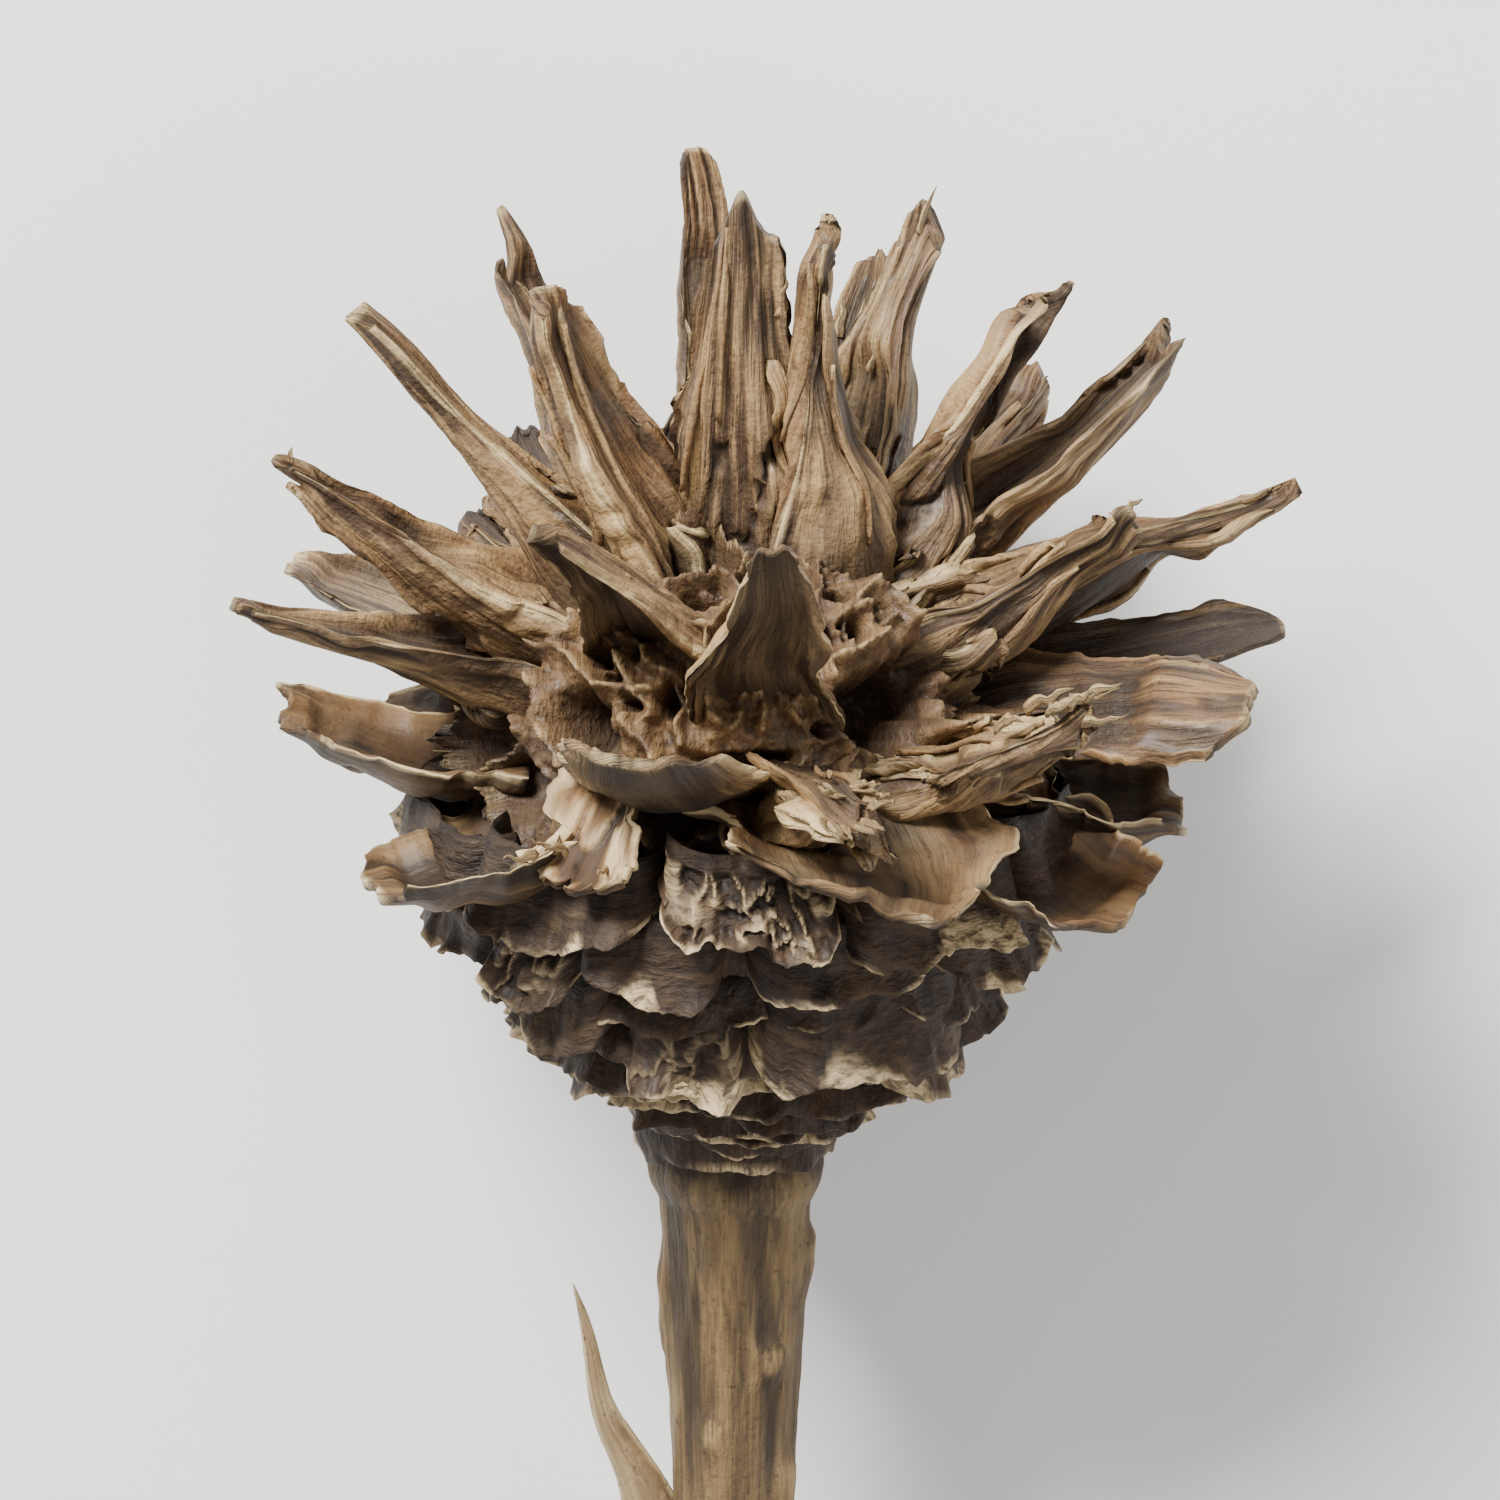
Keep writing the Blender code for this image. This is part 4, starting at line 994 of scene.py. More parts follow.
def receptacle_patch():
    """The pitted dome and the bowl, as a radius over (bearing, latitude), with a pole at each end.

    The floor swells from dome to bowl, and stands higher on the best side, where the listed hollows are
    pressed into it. Elsewhere, where a direction is about as far from its nearest pit's centre as from
    the next one's, a wall stands on the floor: exp of minus that difference squared. Crests run between
    the bracts' feet. All of it is roughened by layered noise, and below the bowl a neck narrows to the
    stem.
    """
    latitude = np.concatenate([np.linspace(88.5, -16, 190), np.linspace(-18, -66, 22)])[:, None]
    rows, around = len(latitude), 400
    share = np.arange(around)[None, :] / around
    bearing = 360 * share - 25 * np.sin(2 * np.pi * share)
    direction = outward(bearing + 0 * latitude, latitude + 0 * bearing)
    x, y, z = np.moveaxis(direction * 18, -1, 0)
    bend = 0.04 * np.stack([layered(x / 3.5, y / 3.5, z / 3.5, k) for k in (31, 34, 37)], -1)
    bent = unit(direction + bend)
    spread = np.degrees(np.arccos(np.clip(bent @ pit_centres().T, -1, 1)))
    spread = np.sort(spread, axis=-1)[..., :2]
    wall = np.exp(-(((spread[..., 1] - spread[..., 0]) / 1.9) ** 2))
    fade = smooth(-14, 0, latitude)
    aside = (bearing + 180) % 360 - 180
    best = smooth(70, 50, np.abs(aside)) * smooth(4, 13, latitude) * smooth(66, 50, latitude)
    wide, fine = layered(x / 3.5, y / 3.5, z / 3.5, 8, 4), layered(x / 0.8, y / 0.8, z / 0.8, 17)
    dug = best * hollow_depth(aside, latitude, 0.25 * wide + 0.12 * fine)
    floor = DOME_FLOOR + BOWL_SWELL * smooth(-0.25, 1, (20 - latitude) / 86)
    floor = floor - 1.8 * fade * np.exp(-((spread[..., 0] / 9) ** 2))
    floor = floor + best * (BEST_FLOOR + 0.5 * wide - floor)
    wall = wall * fade * (1 - 0.8 * best)
    walls = wall * np.clip(2.6 + 2.2 * wide + 0.5 * fine, 0.8, 7.5)
    listed = [np.array([outward(b, a) * far for b, a, far in crest]) for crest in CRESTS]
    crests, near = crest_height(bent, listed + webs(), floor)
    fibres = ridged(x * 1.9, y * 1.9, z * 1.9, 21) - 0.5
    radius = floor + np.maximum(walls, crests * (1 + 0.1 * fine)) - dug * (1 - 0.7 * near**2)
    radius = radius + (0.3 - 0.17 * best) * fine + 0.25 * fibres * (0.4 + near)
    points = (direction * radius[..., None]).reshape(-1, 3)
    neck_depth, neck_radius = np.array(NECK).T[..., None]
    b = np.radians(bearing)
    neck = columns(neck_radius * np.sin(b), -neck_depth, neck_radius * np.cos(b))
    points = np.concatenate([points, neck, [[0.0, floor[0, 0] + 1, 0.0], [0.0, -neck_depth[-1, 0], 0.0]]])
    rows = rows + len(NECK)
    wear_and_shade = np.zeros((len(points), 3))
    broken = smooth(-0.3, 0.3, fine)
    wear_and_shade[: wall.size, 0] = (fade * 0.7 * broken * smooth(0.78, 0.97, np.maximum(near, wall))).ravel()
    wear_and_shade[:, 2] = 0.5
    wear_and_shade[: wall.size, 2] = (0.5 + 0.5 * fibres + 0.25 * fine).ravel()
    # Painted shade: darker down in the pits and listed hollows, towards the centre, and below the rim; 0.3
    # on the neck and poles
    outer = np.full(len(points), 0.3)
    lit = 0.25 + 0.65 * smooth(14.5, 20.5, radius) * (1 - 0.9 * smooth(0.4, 2.6, dug))
    lit = lit * (1 - 0.75 * smooth(20, 7, latitude + 2 * wide)) * (1 - 0.6 * smooth(1.0, 3.5, dug))
    outer[: wall.size] = lit.ravel()
    return Patch(points, *pole_capped(rows, around), points[:, :2], wear_and_shade, columns(0.6, outer, 0.7))


# ---------------------------------------------------------------- stem and collar


def stem_line():
    """The stem's depths, its radius at each, its middle's curves to the right and up, and its end's depth.

    The solid's corners stand in rings, a step of depth apart. The middle and spread of each ring give
    its place and radius. A parabola to the right and a straight line up run through the middles.
    """
    points = to_head(corners("stem"))
    points = points[np.argsort(-points[:, 1])]
    rings = np.split(points, np.flatnonzero(np.diff(-points[:, 1]) > 0.5) + 1)
    deep = np.array([-ring[:, 1].mean() for ring in rings])
    low, high = (np.array([kind(ring, axis=0) for ring in rings]) for kind in (np.min, np.max))
    middle, radius = (low + high) / 2, (high - low)[:, 2] / 2
    bow, rise = np.polyfit(deep, middle[:, 0], 2), np.polyfit(deep, middle[:, 2], 1)
    return deep, radius, bow, rise, -points[:, 1].min()


# Where the stem is swollen by an old leaf's foot: depth, bearing, width, length and height
SCARS = (
    (35.2, 76, 1.5, 1.9, 0.9), (42.2, 31, 1.1, 1.4, 0.8), (47.5, -20, 1.0, 1.5, 0.5),
    (39, -88, 0.9, 3.2, 0.7), (52, 60, 1.2, 2.0, 0.6), (63, 175, 1.6, 2.4, 0.9), (71, -60, 1.5, 2.2, 0.8),
    (84, 70, 1.6, 2.4, 0.8), (97, -150, 1.6, 2.4, 0.9), (108, -15, 1.5, 2.3, 0.8),
    (121, 110, 1.6, 2.4, 0.8), (134, -100, 1.5, 2.2, 0.7),
)


def stem_patch():
    """The stem as a radius over (bearing, depth): the solid's, with ridges, swellings and leaf scars.

    Ridges run along the stem and fade in and out, and the bark's grain is noise stretched along it.
    Each scar is a bell-shaped swelling, steeper above, with a dent in it. The cut end is drawn in by
    its last rings. The bark is weathered dark in patches, and painted shade darkens more of it right of
    the best side and less of it left of the best side, and darkens its top under the collar.
    """
    rows, around = 300, 88
    depths, radii, bow, rise, deep = stem_line()
    depth = np.concatenate([np.linspace(STEM_TOP, deep - 0.25, rows - 3), [deep - 0.1, deep, deep]])[:, None]
    turn = ring_angles(around)
    radius = np.interp(depth, depths, np.convolve(np.pad(radii, 1, "edge"), [0.15, 0.7, 0.15], "valid"))
    radius = radius * 0.96
    cx, cz = np.sin(turn), np.cos(turn)
    ridges = ridged(turn * 7 / np.pi + 0.6 * noise(depth / 16, 0, 0, 4), depth / 40, 0, 61)
    grain = layered(cx * 3, depth / 7, cz * 3, 62, 4)
    pores = layered(cx * 9, depth / 1.5, cz * 9, 64, 2)
    swell = layered(cx, depth / 16, cz, 63, 2)
    radius = radius * (1 + 0.05 * (ridges - 0.5) + 0.022 * grain + 0.03 * swell + 0.006 * pores)
    scars = 0 * radius
    for at, bearing, width, length, height in SCARS:
        off = np.angle(np.exp(1j * (turn - math.radians(bearing)))) * STEM_RADIUS
        down = depth - at
        far = np.hypot(off / width, down / np.where(down < 0, 0.6 * length, 1.4 * length))
        far = far + 0.15 * noise(off, down, 0, 65)
        radius = radius + height * (np.exp(-(far**2)) - 0.5 * np.exp(-((far / 0.4) ** 2)))
        scars = np.maximum(scars, np.exp(-(far**2)))
    end = np.concatenate([np.ones(rows - 3), [0.97, 0.9, 0.45]])[:, None]
    known = np.maximum(depth, depths.min())
    middle, up = (np.polyval(line, known) * smooth(24, 30, depth) for line in (bow, rise))
    points = columns(middle + radius * end * cx, -depth, up + radius * end * cz)
    poles = [[0.0, -STEM_TOP, 0.0], [np.polyval(bow, deep), -deep, np.polyval(rise, deep)]]
    points = np.concatenate([points, poles])
    wear_and_shade = np.zeros((len(points), 3))
    cut = np.concatenate([np.zeros(rows - 2), [1, 1]])[:, None]
    wear_and_shade[:-2, 0] = np.maximum(0.75 * smooth(0.45, 0.9, scars), cut).ravel()
    bearings = np.degrees(turn)
    # Painted shadow: darker right of the best side and lighter left of it, over the weathered patches
    shadow = 0.55 * np.exp(-(((bearings - 48) / 36) ** 2)) - 0.6 * np.exp(-(((bearings - 325) / 32) ** 2))
    wear_and_shade[:-2, 1] = (0.8 * smooth(0.08, 0.55, -swell + 0.3 * grain + shadow)).ravel()
    wear_and_shade[:-2, 2] = np.clip(ridges + 0.25 * grain, 0, 1).ravel()
    wear_and_shade[-1, 0] = 1
    tone = np.tile([0.35, 1.0, 0.5], (len(points), 1))
    # Painted shade: darker at the stem's top, under the collar
    tone[:-2, 1] = smooth(28.2, 30.8, depth + 1.2 * grain).ravel()
    place = np.concatenate([columns(turn * 4, depth), np.zeros((2, 2))])
    return Patch(points, *pole_capped(rows, around), place, wear_and_shade, tone)


# The collar's skirts: depth of top and hem, radius at each, seed, flare and width of the pale lip
COLLAR = (
    (22.6, 26.0, 7.9, 6.8, 71, 0.2, 0.16),
    (21.6, 25.2, 8.6, 7.3, 74, 0.3, 0.16),
    (24.4, 28.2, 6.8, 6.4, 77, 0.3, 0.5),
)


def skirt_patch(start, end, top_radius, low_radius, seed, flare, ragged, aside=0.0, lip=0.1):
    """A torn skirt round the bowl or neck: a closed skin between two depths, with a ragged hem.

    Its radius runs from top_radius to low_radius and flares at the hem. The hem wanders by layered
    noise round the axis, and in places draws in against what is under it. Its pale lip is wide in
    places and missing in others. The loop round the section gives both faces of the skin, and the
    first ring, which stands at the back, is the last one too.
    """
    rows, around = 260, 20
    turn = 2 * np.pi * np.arange(rows + 1)[:, None] / rows - np.pi
    loop, down, side = skin_loop(around, 0.8)
    cx, cz = np.sin(turn), np.cos(turn)
    size = low_radius / 6
    wander = layered(cx * size, cz * size, 0, seed, 5)
    drawn = noise(cx * 1.3 * size, cz * 1.3 * size, 0, seed + 6)
    hem = end + ragged * (wander - 0.25 * ridged(cx * 6 * size, cz * 6 * size, 0, seed + 9))
    depth = start + down * (hem - start)
    radius = top_radius + down * (1 - 0.45 * smooth(0.1, 0.7, drawn)) * (low_radius - top_radius)
    radius = radius + flare * down**4 * (0.4 + 1.2 * noise(cx * 5 * size, cz * 5 * size, 0, seed + 7))
    radius = radius + 0.35 * layered(cx * 1.6 * size, depth / 3, cz * 1.6 * size, seed + 1, 4)
    radius = radius + side * (0.34 - 0.1 * down) * np.abs(np.sin(loop)) ** 0.6
    points = columns(radius * cx + aside, -depth, radius * cz)
    patchy = noise(cx * 2.4 * size, cz * 2.4 * size, 0, seed + 8)
    wide = lip * (0.5 + 4.0 * smooth(0.25, 0.6, patchy))
    frayed = down + 0.03 * noise(cx * 7 * size, down * 4, cz * 7 * size, seed + 3)
    torn = pale_lip(wide, frayed, patchy)
    crest = 0.5 + 0.3 * noise(cx * 6 * size, depth / 1.5, cz * 6 * size, seed + 4)
    # Painted shade: darker towards the top of the skirt, under the one above, and on its inner face
    out = (0.3 + 0.7 * smooth(0.25, 0.85, down)) * np.where(side > 0, 1.0, 0.6)
    wear_and_shade, tone = columns(torn, 0.0, crest), columns(0.35, out + 0 * depth, 0.6)
    grain = columns(turn * 7, depth)
    quads = tube_faces(rows + 1, around)
    keep = len(points) - around
    quads = np.where(quads >= keep, quads - keep, quads)
    none = np.empty((0, 3), int)
    return Patch(points[:keep], quads, none, grain[:keep], wear_and_shade[:keep], tone[:keep])


# ---------------------------------------------------------------- finishes


def linear(hex_colour):
    """An sRGB colour such as #b29268 as linear red, green, blue and alpha 1."""
    shares = [int(hex_colour[k : k + 2], 16) / 255 for k in (1, 3, 5)]
    return [s / 12.92 if s <= 0.04045 else ((s + 0.055) / 1.055) ** 2.4 for s in shares] + [1.0]


def add(tree, kind, values=None, links=None, **options):
    """Add a node: options set its properties, values its sockets, links join other nodes' outputs."""
    made = tree.nodes.new(kind)
    for name, value in options.items():
        setattr(made, name, value)
    for socket, value in (values or {}).items():
        made.inputs[socket].default_value = value
    for socket, source in (links or {}).items():
        tree.links.new(source, made.inputs[socket])
    return made


MIX_FACTOR, MIX_A, MIX_B, MIX_COLOUR = 0, 6, 7, 2  # the mix node's sockets for colours
PATCH_SIZE = 0.005  # metres across the weathered patches


def mixed(tree, colour, share, other):
    """A colour, given as an output or in hex, mixed with another in hex by a share's output."""
    values, links = {MIX_B: linear(other)}, {MIX_FACTOR: share}
    if isinstance(colour, str):
        values[MIX_A] = linear(colour)
    else:
        links[MIX_A] = colour
    return add(tree, "ShaderNodeMix", values, links, data_type="RGBA").outputs[MIX_COLOUR]


def ranged(tree, value, low, high, most=1.0, least=0.0):
    """A value's output, stretched so that low gives least and high gives most."""
    values = {"From Min": low, "From Max": high, "To Min": least, "To Max": most}
    return add(tree, "ShaderNodeMapRange", values, {"Value": value}).outputs[0]


def product_of(tree, one, two, kind="MULTIPLY"):
    """Two outputs, multiplied or joined by another kind of sum."""
    return add(tree, "ShaderNodeMath", links={0: one, 1: two}, operation=kind).outputs[0]


@dataclass
class Finish:
    """The palette and grain of one plant surface. Sizes are in metres."""

    dark: str
    mid: str
    light: str
    weathered: str
    warm: str
    torn: str
    # painted shade in grooves and deep places, and the colour of small dark specks
    shade_and_speck: str
    grain: tuple = (0.0008, 0.016, 0.0008)  # a streak's width, length and depth
    streaks: float = 0.75  # how strongly the streaks show
    weathering: float = 0.6
    roughness: tuple = (0.45, 0.75)
    coat: float = 0.12
    bump: float = 0.0006
    along_stem: bool = False  # grain from the flower's axis in place of the piece's own fibres


def waxed_plant(name, finish):
    """Dry plant tissue under a thin coat of wax.

    Hollows and lower faces weather to grey, and upper faces keep their warmth. Over that run pale and
    dark fibre streaks. Painted shade darkens the grooves between fibres and places deep in the head,
    and torn edges show pale fibre, dimmed where shade is painted.
    """
    material = bpy.data.materials.new(name)
    material.use_nodes = True
    tree = material.node_tree
    shader = tree.nodes["Principled BSDF"]
    coordinates = add(tree, "ShaderNodeTexCoord").outputs

    def place(source, size, tilt=0.0):
        """Where a noise is read: the coordinates of this source, in steps of size, turned by tilt."""
        values, links = {"Rotation": (tilt, 0.0, 0.0), "Scale": size}, {"Vector": coordinates[source]}
        return add(tree, "ShaderNodeMapping", values, links, vector_type="TEXTURE").outputs[0]

    tilt = math.atan2(HEAD_AXES[1][2], HEAD_AXES[1][1])
    grain_place = place("Object", finish.grain, tilt) if finish.along_stem else place("UV", finish.grain)
    patch_place = place("Object", (PATCH_SIZE,) * 3)

    def speckle(source, scale, detail):
        """Layered noise from 0 to 1, read at a place's output."""
        values = {"Detail": detail, "Roughness": 0.6, "Scale": scale}
        return add(tree, "ShaderNodeTexNoise", values, {"Vector": source}).outputs["Fac"]

    streak, hair = speckle(grain_place, 1.0, 5.0), speckle(grain_place, 3.1, 3.0)
    blotch, speck = speckle(patch_place, 1.0, 4.0), speckle(patch_place, 9.0, 2.0)
    channels = {}
    for key in ("wear_and_shade", "tone"):
        colour = add(tree, "ShaderNodeAttribute", attribute_name=key).outputs["Color"]
        channels[key] = add(tree, "ShaderNodeSeparateColor", links={"Color": colour}).outputs
    torn, hollow, crest = (channels["wear_and_shade"][k] for k in ("Red", "Green", "Blue"))
    # out carries painted light: low where the finish paints shade
    warmth, out, upper = (channels["tone"][k] for k in ("Red", "Green", "Blue"))

    lower = ranged(tree, upper, 1.0, 0.0, finish.weathering)
    grey = product_of(tree, lower, ranged(tree, blotch, 0.35, 0.6, 1.0, 0.3))
    grey = product_of(tree, grey, ranged(tree, hollow, 0.0, 1.0, 0.85), "MAXIMUM")
    warm = product_of(tree, ranged(tree, warmth, 0.2, 1.0, 0.9), ranged(tree, blotch, 0.38, 0.62))
    full = ranged(tree, hollow, 0.0, 1.0, 0.25, 1.0)
    pale = product_of(tree, torn, ranged(tree, hair, 0.36, 0.56, 0.95, 0.2))
    faint = 0.7 * finish.streaks
    colour = finish.mid
    for share, other in (
        (grey, finish.weathered),
        (product_of(tree, warm, upper), finish.warm),
        (product_of(tree, full, ranged(tree, streak, 0.51, 0.6, finish.streaks)), finish.light),
        (ranged(tree, streak, 0.49, 0.39, finish.streaks), finish.dark),
        (product_of(tree, full, ranged(tree, hair, 0.54, 0.64, faint)), finish.light),
        (ranged(tree, hair, 0.46, 0.38, faint), finish.dark),
        (product_of(tree, full, ranged(tree, crest, 0.6, 1.0, 0.4)), finish.light),
        # painted shade in the grooves between fibres
        (ranged(tree, crest, 0.45, 0.08, 0.75), finish.shade_and_speck),
        # painted shade deep in the head, in hollows and under other parts
        (ranged(tree, out, 0.9, 0.05, 0.85), finish.shade_and_speck),
        (product_of(tree, pale, ranged(tree, out, 0.0, 0.5, 1.0, 0.55)), finish.torn),
        # small dark specks of the surface's own
        (ranged(tree, speck, 0.38, 0.28, 0.55), finish.shade_and_speck),
    ):
        colour = mixed(tree, colour, share, other)
    tree.links.new(colour, shader.inputs["Base Color"])

    low, high = finish.roughness
    tree.links.new(ranged(tree, blotch, 0.3, 0.7, high, low), shader.inputs["Roughness"])
    heights = product_of(tree, streak, ranged(tree, hair, 0.0, 1.0, 0.5), "ADD")
    heights = product_of(tree, heights, ranged(tree, speck, 0.0, 1.0, 0.3), "ADD")
    bump = add(tree, "ShaderNodeBump", {"Strength": 1.0, "Distance": finish.bump}, {"Height": heights})
    tree.links.new(bump.outputs["Normal"], shader.inputs["Normal"])
    waxed = {"Coat Weight": finish.coat, "Coat Roughness": 0.3, "Specular IOR Level": 0.35}
    for socket, value in waxed.items():
        shader.inputs[socket].default_value = value
    return material


FINISHES = {
    # Split woody fibre: golden brown streaked with straw where it is torn open, grey where weathered
    "waxed_split_fibre": Finish("#382718", "#705438", "#aa8b5f", "#43382e", "#865f38", "#c8af80", "#281d14"),
    # Bract skin at the rim: browner and smoother, with pale torn lips
    "waxed_bract_skin": Finish(
        "#2c1f15", "#5c452d", "#93744b", "#382c22", "#835c33", "#c8b084", "#211810", weathering=0.8,
        grain=(0.0014, 0.014, 0.0014), streaks=0.25, bump=0.0003, coat=0.05, roughness=(0.55, 0.8),
    ),
    # Old scales under the rim: dark, partly their own colour and partly painted shade under the rim, with
    # pale torn lips
    "waxed_scale_skin": Finish(
        "#1a120c", "#35271b", "#5e4932", "#2c2119", "#50391f", "#cdb389", "#19120c", weathering=0.4,
        grain=(0.0010, 0.004, 0.0010), streaks=0.35, bump=0.0005, coat=0.05, roughness=(0.55, 0.85),
    ),
    # Pitted receptacle: pits painted dark as shade, between walls whose torn crests are straw-coloured
    "waxed_pith": Finish(
        "#3f2f20", "#644c33", "#8a6d49", "#4d3f32", "#7a5631", "#ab9063", "#32251a",
        grain=(0.0012, 0.002, 0.0012), bump=0.0004, streaks=0.5,
    ),
    # Stem bark: khaki-brown, streaked along the stem, with dark patches
    "waxed_bark": Finish(
        "#33271b", "#665135", "#8f764d", "#382b20", "#765833", "#a98b5e", "#1e150e",
        grain=(0.0009, 0.014, 0.0009), along_stem=True, bump=0.0003, weathering=0.3, streaks=0.5,
        coat=0.05, roughness=(0.55, 0.8),
    ),
    # Dry leaf: straw-brown and thin, fibres along it
    "waxed_dry_leaf": Finish(
        "#5a4429", "#8f7350", "#b49a70", "#6f5c45", "#9a743f", "#ccb68c", "#3a2a1a", streaks=0.6, bump=0.0002
    ),
}


# ---------------------------------------------------------------- settings


class ProteaSizes(bpy.types.PropertyGroup):
    """Sizes that a maker would change."""

    fibre_pitch: FloatProperty(
        name="Fibre pitch", description="Between the bracts' split fibres", default=1.05 * MM, unit="LENGTH"
    )
    fibre_depth: FloatProperty(
        name="Fibre depth", description="Of the grooves between fibres", default=0.95 * MM, unit="LENGTH"
    )
    frame_width: FloatProperty(
        name="Picture width", description="Seen at the head", default=100 * MM, unit="LENGTH"
    )
    camera_distance: FloatProperty(
        name="Camera distance", description="From the head's centre", default=600 * MM, unit="LENGTH"
    )


class ProteaColours(bpy.types.PropertyGroup):
    """Colours of the stage."""

    surface: FloatVectorProperty(
        name="Surface", description="Under the flower", size=4, subtype="COLOR", default=linear("#f3f2ef")
    )


def finish_named(name):
    """The material of this name, made once."""
    return bpy.data.materials.get(name) or waxed_plant(name, FINISHES[name])


def numbered(prefix):
    """The solids whose names start with prefix, in order."""
    return sorted(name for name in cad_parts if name.startswith(prefix))


# ---------------------------------------------------------------- operators


class PROTEA_OT_stem(bpy.types.Operator):
    """The ridged, scarred stem with its cut end"""

    bl_idname = "protea.stem"
    bl_label = "Stem"

    def execute(self, context):
        add_piece("scarred_stem", stem_patch(), finish_named("waxed_bark"), "stem_bark", "stem")
        collar = join([skirt_patch(*skirt[:-1], ragged=0.8, lip=skirt[-1]) for skirt in COLLAR])
        add_piece("torn_collar", collar, finish_named("waxed_scale_skin"), "scale_wood")
        return {"FINISHED"}


class PROTEA_OT_leaf(bpy.types.Operator):
    """The narrow dry leaf on the stem"""

    bl_idname = "protea.leaf"
    bl_label = "Stem leaf"

    def execute(self, context):
        found = blade_of("stem_leaf")  # its tip is nearer the head than its foot, so they change places
        blade = Blade(found.tip + LEAF_FOOT, found.root, found.across)
        patch = bract_patch(blade, LEAF_SHAPE, 7, context.scene.protea_sizes)
        add_piece("dry_leaf", patch, finish_named("waxed_dry_leaf"), "leaf_straw", "stem_leaf")
        return {"FINISHED"}


class PROTEA_OT_receptacle(bpy.types.Operator):
    """The pitted woody receptacle"""

    bl_idname = "protea.receptacle"
    bl_label = "Receptacle"

    def execute(self, context):
        finish = finish_named("waxed_pith")
        add_piece("pitted_receptacle", receptacle_patch(), finish, "receptacle_wood", "receptacle")
        return {"FINISHED"}


class PROTEA_OT_crown(bpy.types.Operator):
    """The splintered crown bracts"""

    bl_idname = "protea.crown"
    bl_label = "Crown bracts"

    def execute(self, context):
        finish, sizes = finish_named("waxed_split_fibre"), context.scene.protea_sizes
        add_bracts(numbered("crown_bract"), CROWN_SHAPES, CROWN_USUAL, finish, "crown_wood", sizes, 1000)
        return {"FINISHED"}


class PROTEA_OT_rim(bpy.types.Operator):
    """The broad cupped bracts at the rim"""

    bl_idname = "protea.rim"
    bl_label = "Rim bracts"

    def execute(self, context):
        finish, sizes = finish_named("waxed_bract_skin"), context.scene.protea_sizes
        add_bracts(numbered("rim_bract"), RIM_SHAPES, RIM_USUAL, finish, "rim_wood", sizes, 5000)
        return {"FINISHED"}


class PROTEA_OT_scales(bpy.types.Operator):
    """The broken scales under the rim"""

    bl_idname = "protea.scales"
    bl_label = "Scales"

    def execute(self, context):
        add_scales(finish_named("waxed_scale_skin"))
        return {"FINISHED"}


class PROTEA_OT_stage(bpy.types.Operator):
    """The pale surface, the soft lights and the camera"""

    bl_idname = "protea.stage"
    bl_label = "Stage"

    def execute(self, context):
        add_floor(context.scene.protea_colours)
        add_lights()
        add_camera(context.scene.protea_sizes)
        return {"FINISHED"}


# ---------------------------------------------------------------- stage

CAMERA_LATITUDE = 20.0  # degrees that the camera stands above the rim's plane, on the best side
SENSOR = 36.0  # millimetres across the camera's film
AIM = 0.7  # millimetres right of the head's centre
FLOOR_HALF = 2.0  # metres
# Each light's name, direction, distance, size across and watts
LIGHTS = (("key", (-0.5, 0.85, 0.8), 0.9, 0.3, 24.0), ("fill", (0.8, -0.4, 0.8), 1.0, 0.8, 4.5))
SKY_STRENGTH = 0.5


def add_floor(colours):
    """A flat pale sheet under everything."""
    mesh = bpy.data.meshes.new("pale_surface")
    corner_points = [(x * FLOOR_HALF, y * FLOOR_HALF, 0) for x, y in ((-1, -1), (1, -1), (1, 1), (-1, 1))]
    mesh.from_pydata(corner_points, [], [(0, 1, 2, 3)])
    material = bpy.data.materials.new("matt_paper")
    material.use_nodes = True
    shader = material.node_tree.nodes["Principled BSDF"]
    shader.inputs["Base Color"].default_value = colours.surface
    shader.inputs["Roughness"].default_value = 0.9
    mesh.materials.append(material)
    floor = new_object("pale_surface", mesh)


def add_light(name, direction, distance, size, watts):
    """A square soft light that looks at the head's centre from a direction."""
    lamp = bpy.data.lights.new(name, "AREA")
    lamp.size, lamp.energy = size, watts
    look_from(new_object(name, lamp), unit(np.array(direction)), distance, HEAD_CENTRE)


def look_from(thing, direction, distance, target, up=(0.0, 0.0, 1.0)):
    """Put a light or camera at a distance from target, looking at it, its top towards up."""
    right = unit(np.cross(up, direction))
    thing.location = Vector(target + direction * distance)
    thing.rotation_euler = Matrix(np.array([right, np.cross(direction, right), direction]).T).to_euler()


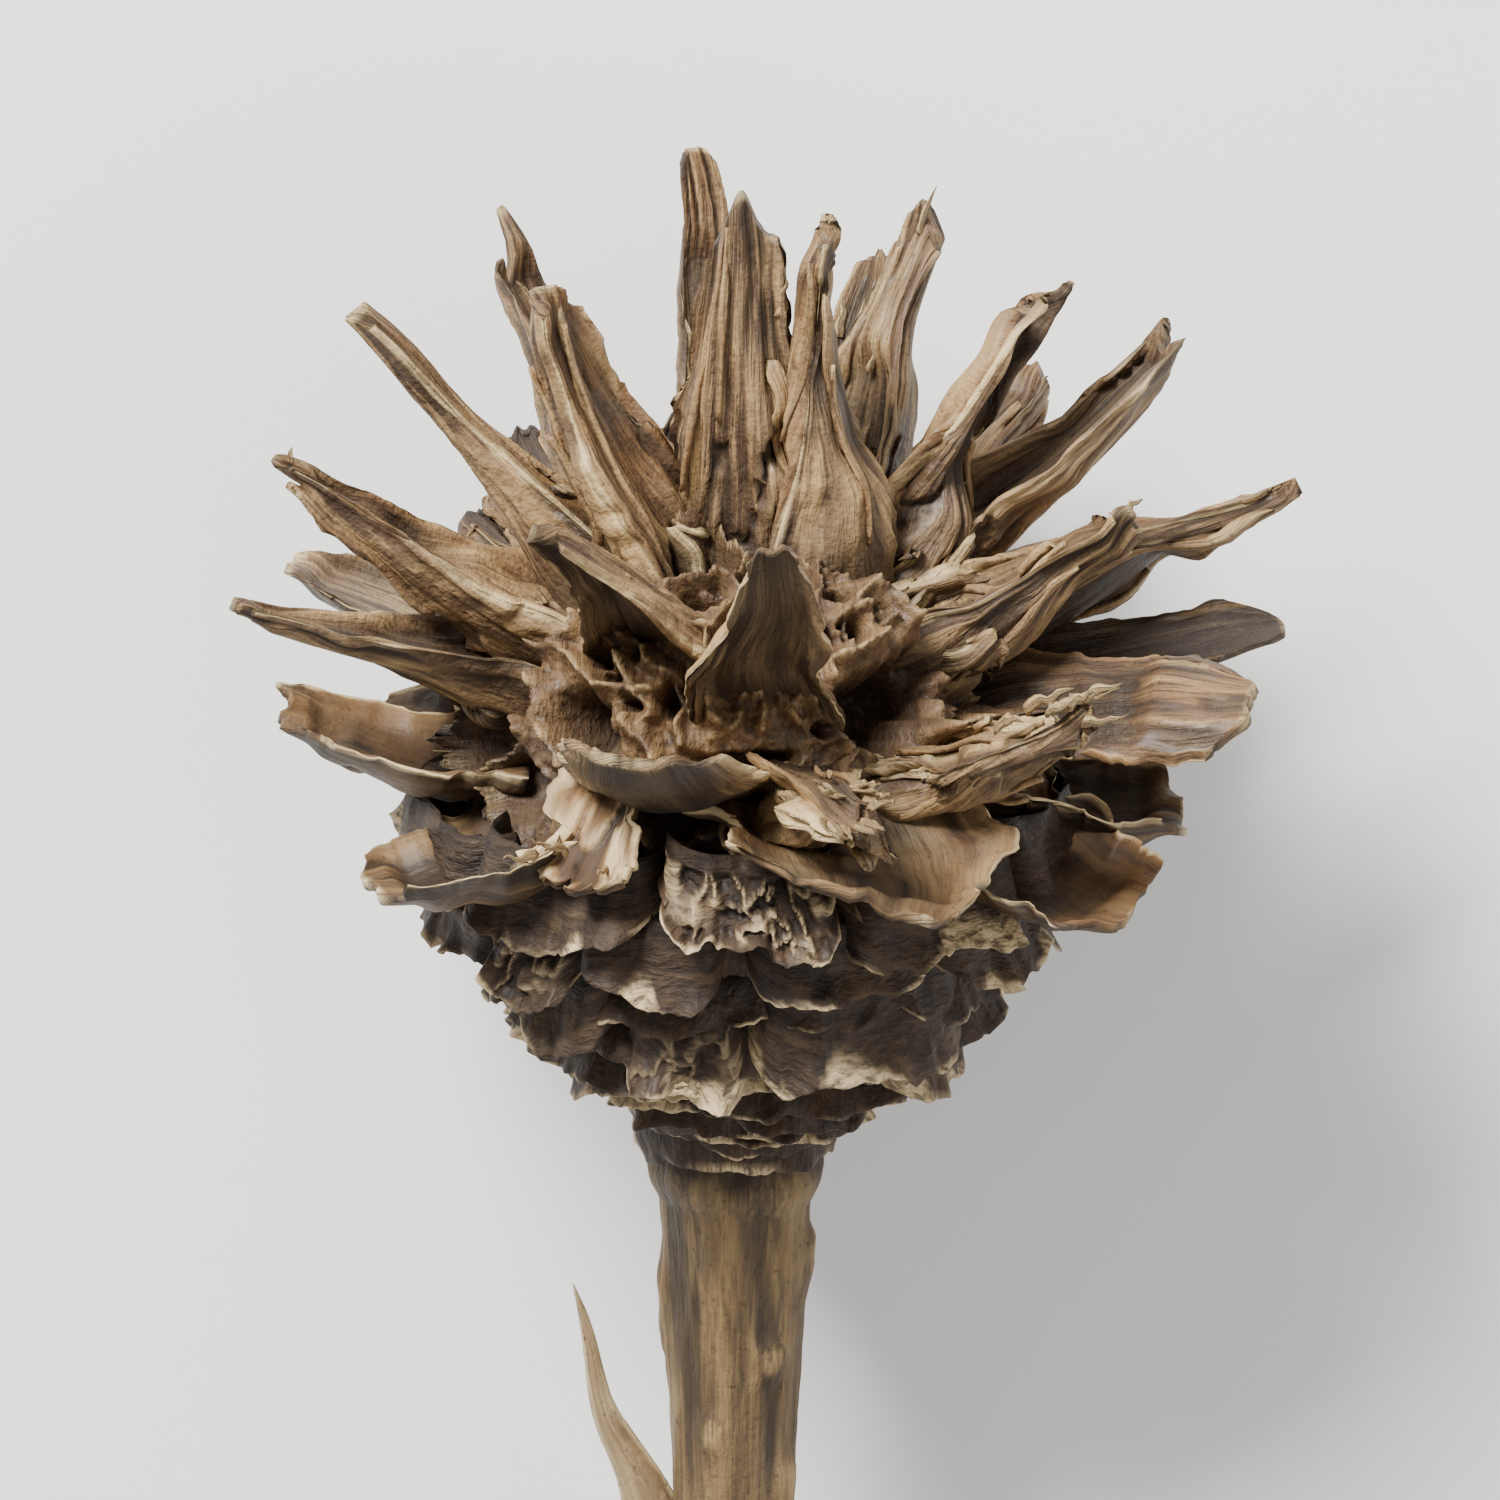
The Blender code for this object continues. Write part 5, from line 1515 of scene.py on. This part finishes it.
def add_lights():
    """A big key light beyond the flower's tip and to its left, a soft fill, and a pale sky."""
    for light in LIGHTS:
        add_light(*light)
    world = bpy.data.worlds.new("pale_sky")
    bpy.context.scene.world = world
    world.use_nodes = True
    background = world.node_tree.nodes["Background"]
    background.inputs["Color"].default_value = linear("#ffffff")
    background.inputs["Strength"].default_value = SKY_STRENGTH


def add_camera(sizes):
    """A long lens on the best side, square to the flower's length."""
    lens = bpy.data.cameras.new("camera")
    lens.sensor_width = SENSOR
    lens.lens = SENSOR * sizes.camera_distance / sizes.frame_width
    camera = new_object("camera", lens)
    direction, right = outward(0.0, CAMERA_LATITUDE) @ HEAD_AXES, HEAD_AXES[0]
    target = HEAD_CENTRE + right * AIM * MM
    look_from(camera, direction, sizes.camera_distance, target, np.cross(direction, right))
    bpy.context.scene.camera = camera


# ---------------------------------------------------------------- panel and add-on


class PROTEA_PT_panel(bpy.types.Panel):
    """Everything that dresses the flower, in the order in which it is made"""

    bl_label = "Waxed protea"
    bl_space_type = "VIEW_3D"
    bl_region_type = "UI"
    bl_category = "Protea"

    def draw(self, context):
        for group in (context.scene.protea_sizes, context.scene.protea_colours):
            for name in group.__annotations__:
                self.layout.prop(group, name)
        for operator in OPERATORS:
            self.layout.operator(operator.bl_idname)


OPERATORS = (
    PROTEA_OT_stem,
    PROTEA_OT_leaf,
    PROTEA_OT_receptacle,
    PROTEA_OT_crown,
    PROTEA_OT_rim,
    PROTEA_OT_scales,
    PROTEA_OT_stage,
)
CLASSES = (ProteaSizes, ProteaColours, *OPERATORS, PROTEA_PT_panel)


def register():
    for made in CLASSES:
        bpy.utils.register_class(made)
    bpy.types.Scene.protea_sizes = PointerProperty(type=ProteaSizes)
    bpy.types.Scene.protea_colours = PointerProperty(type=ProteaColours)


def unregister():
    del bpy.types.Scene.protea_sizes
    del bpy.types.Scene.protea_colours
    for made in reversed(CLASSES):
        bpy.utils.unregister_class(made)


def main():
    """Dress the flower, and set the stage."""
    register()
    for operator in OPERATORS:
        group, name = operator.bl_idname.split(".")
        getattr(getattr(bpy.ops, group), name)()


if __name__ == "__main__":
    main()
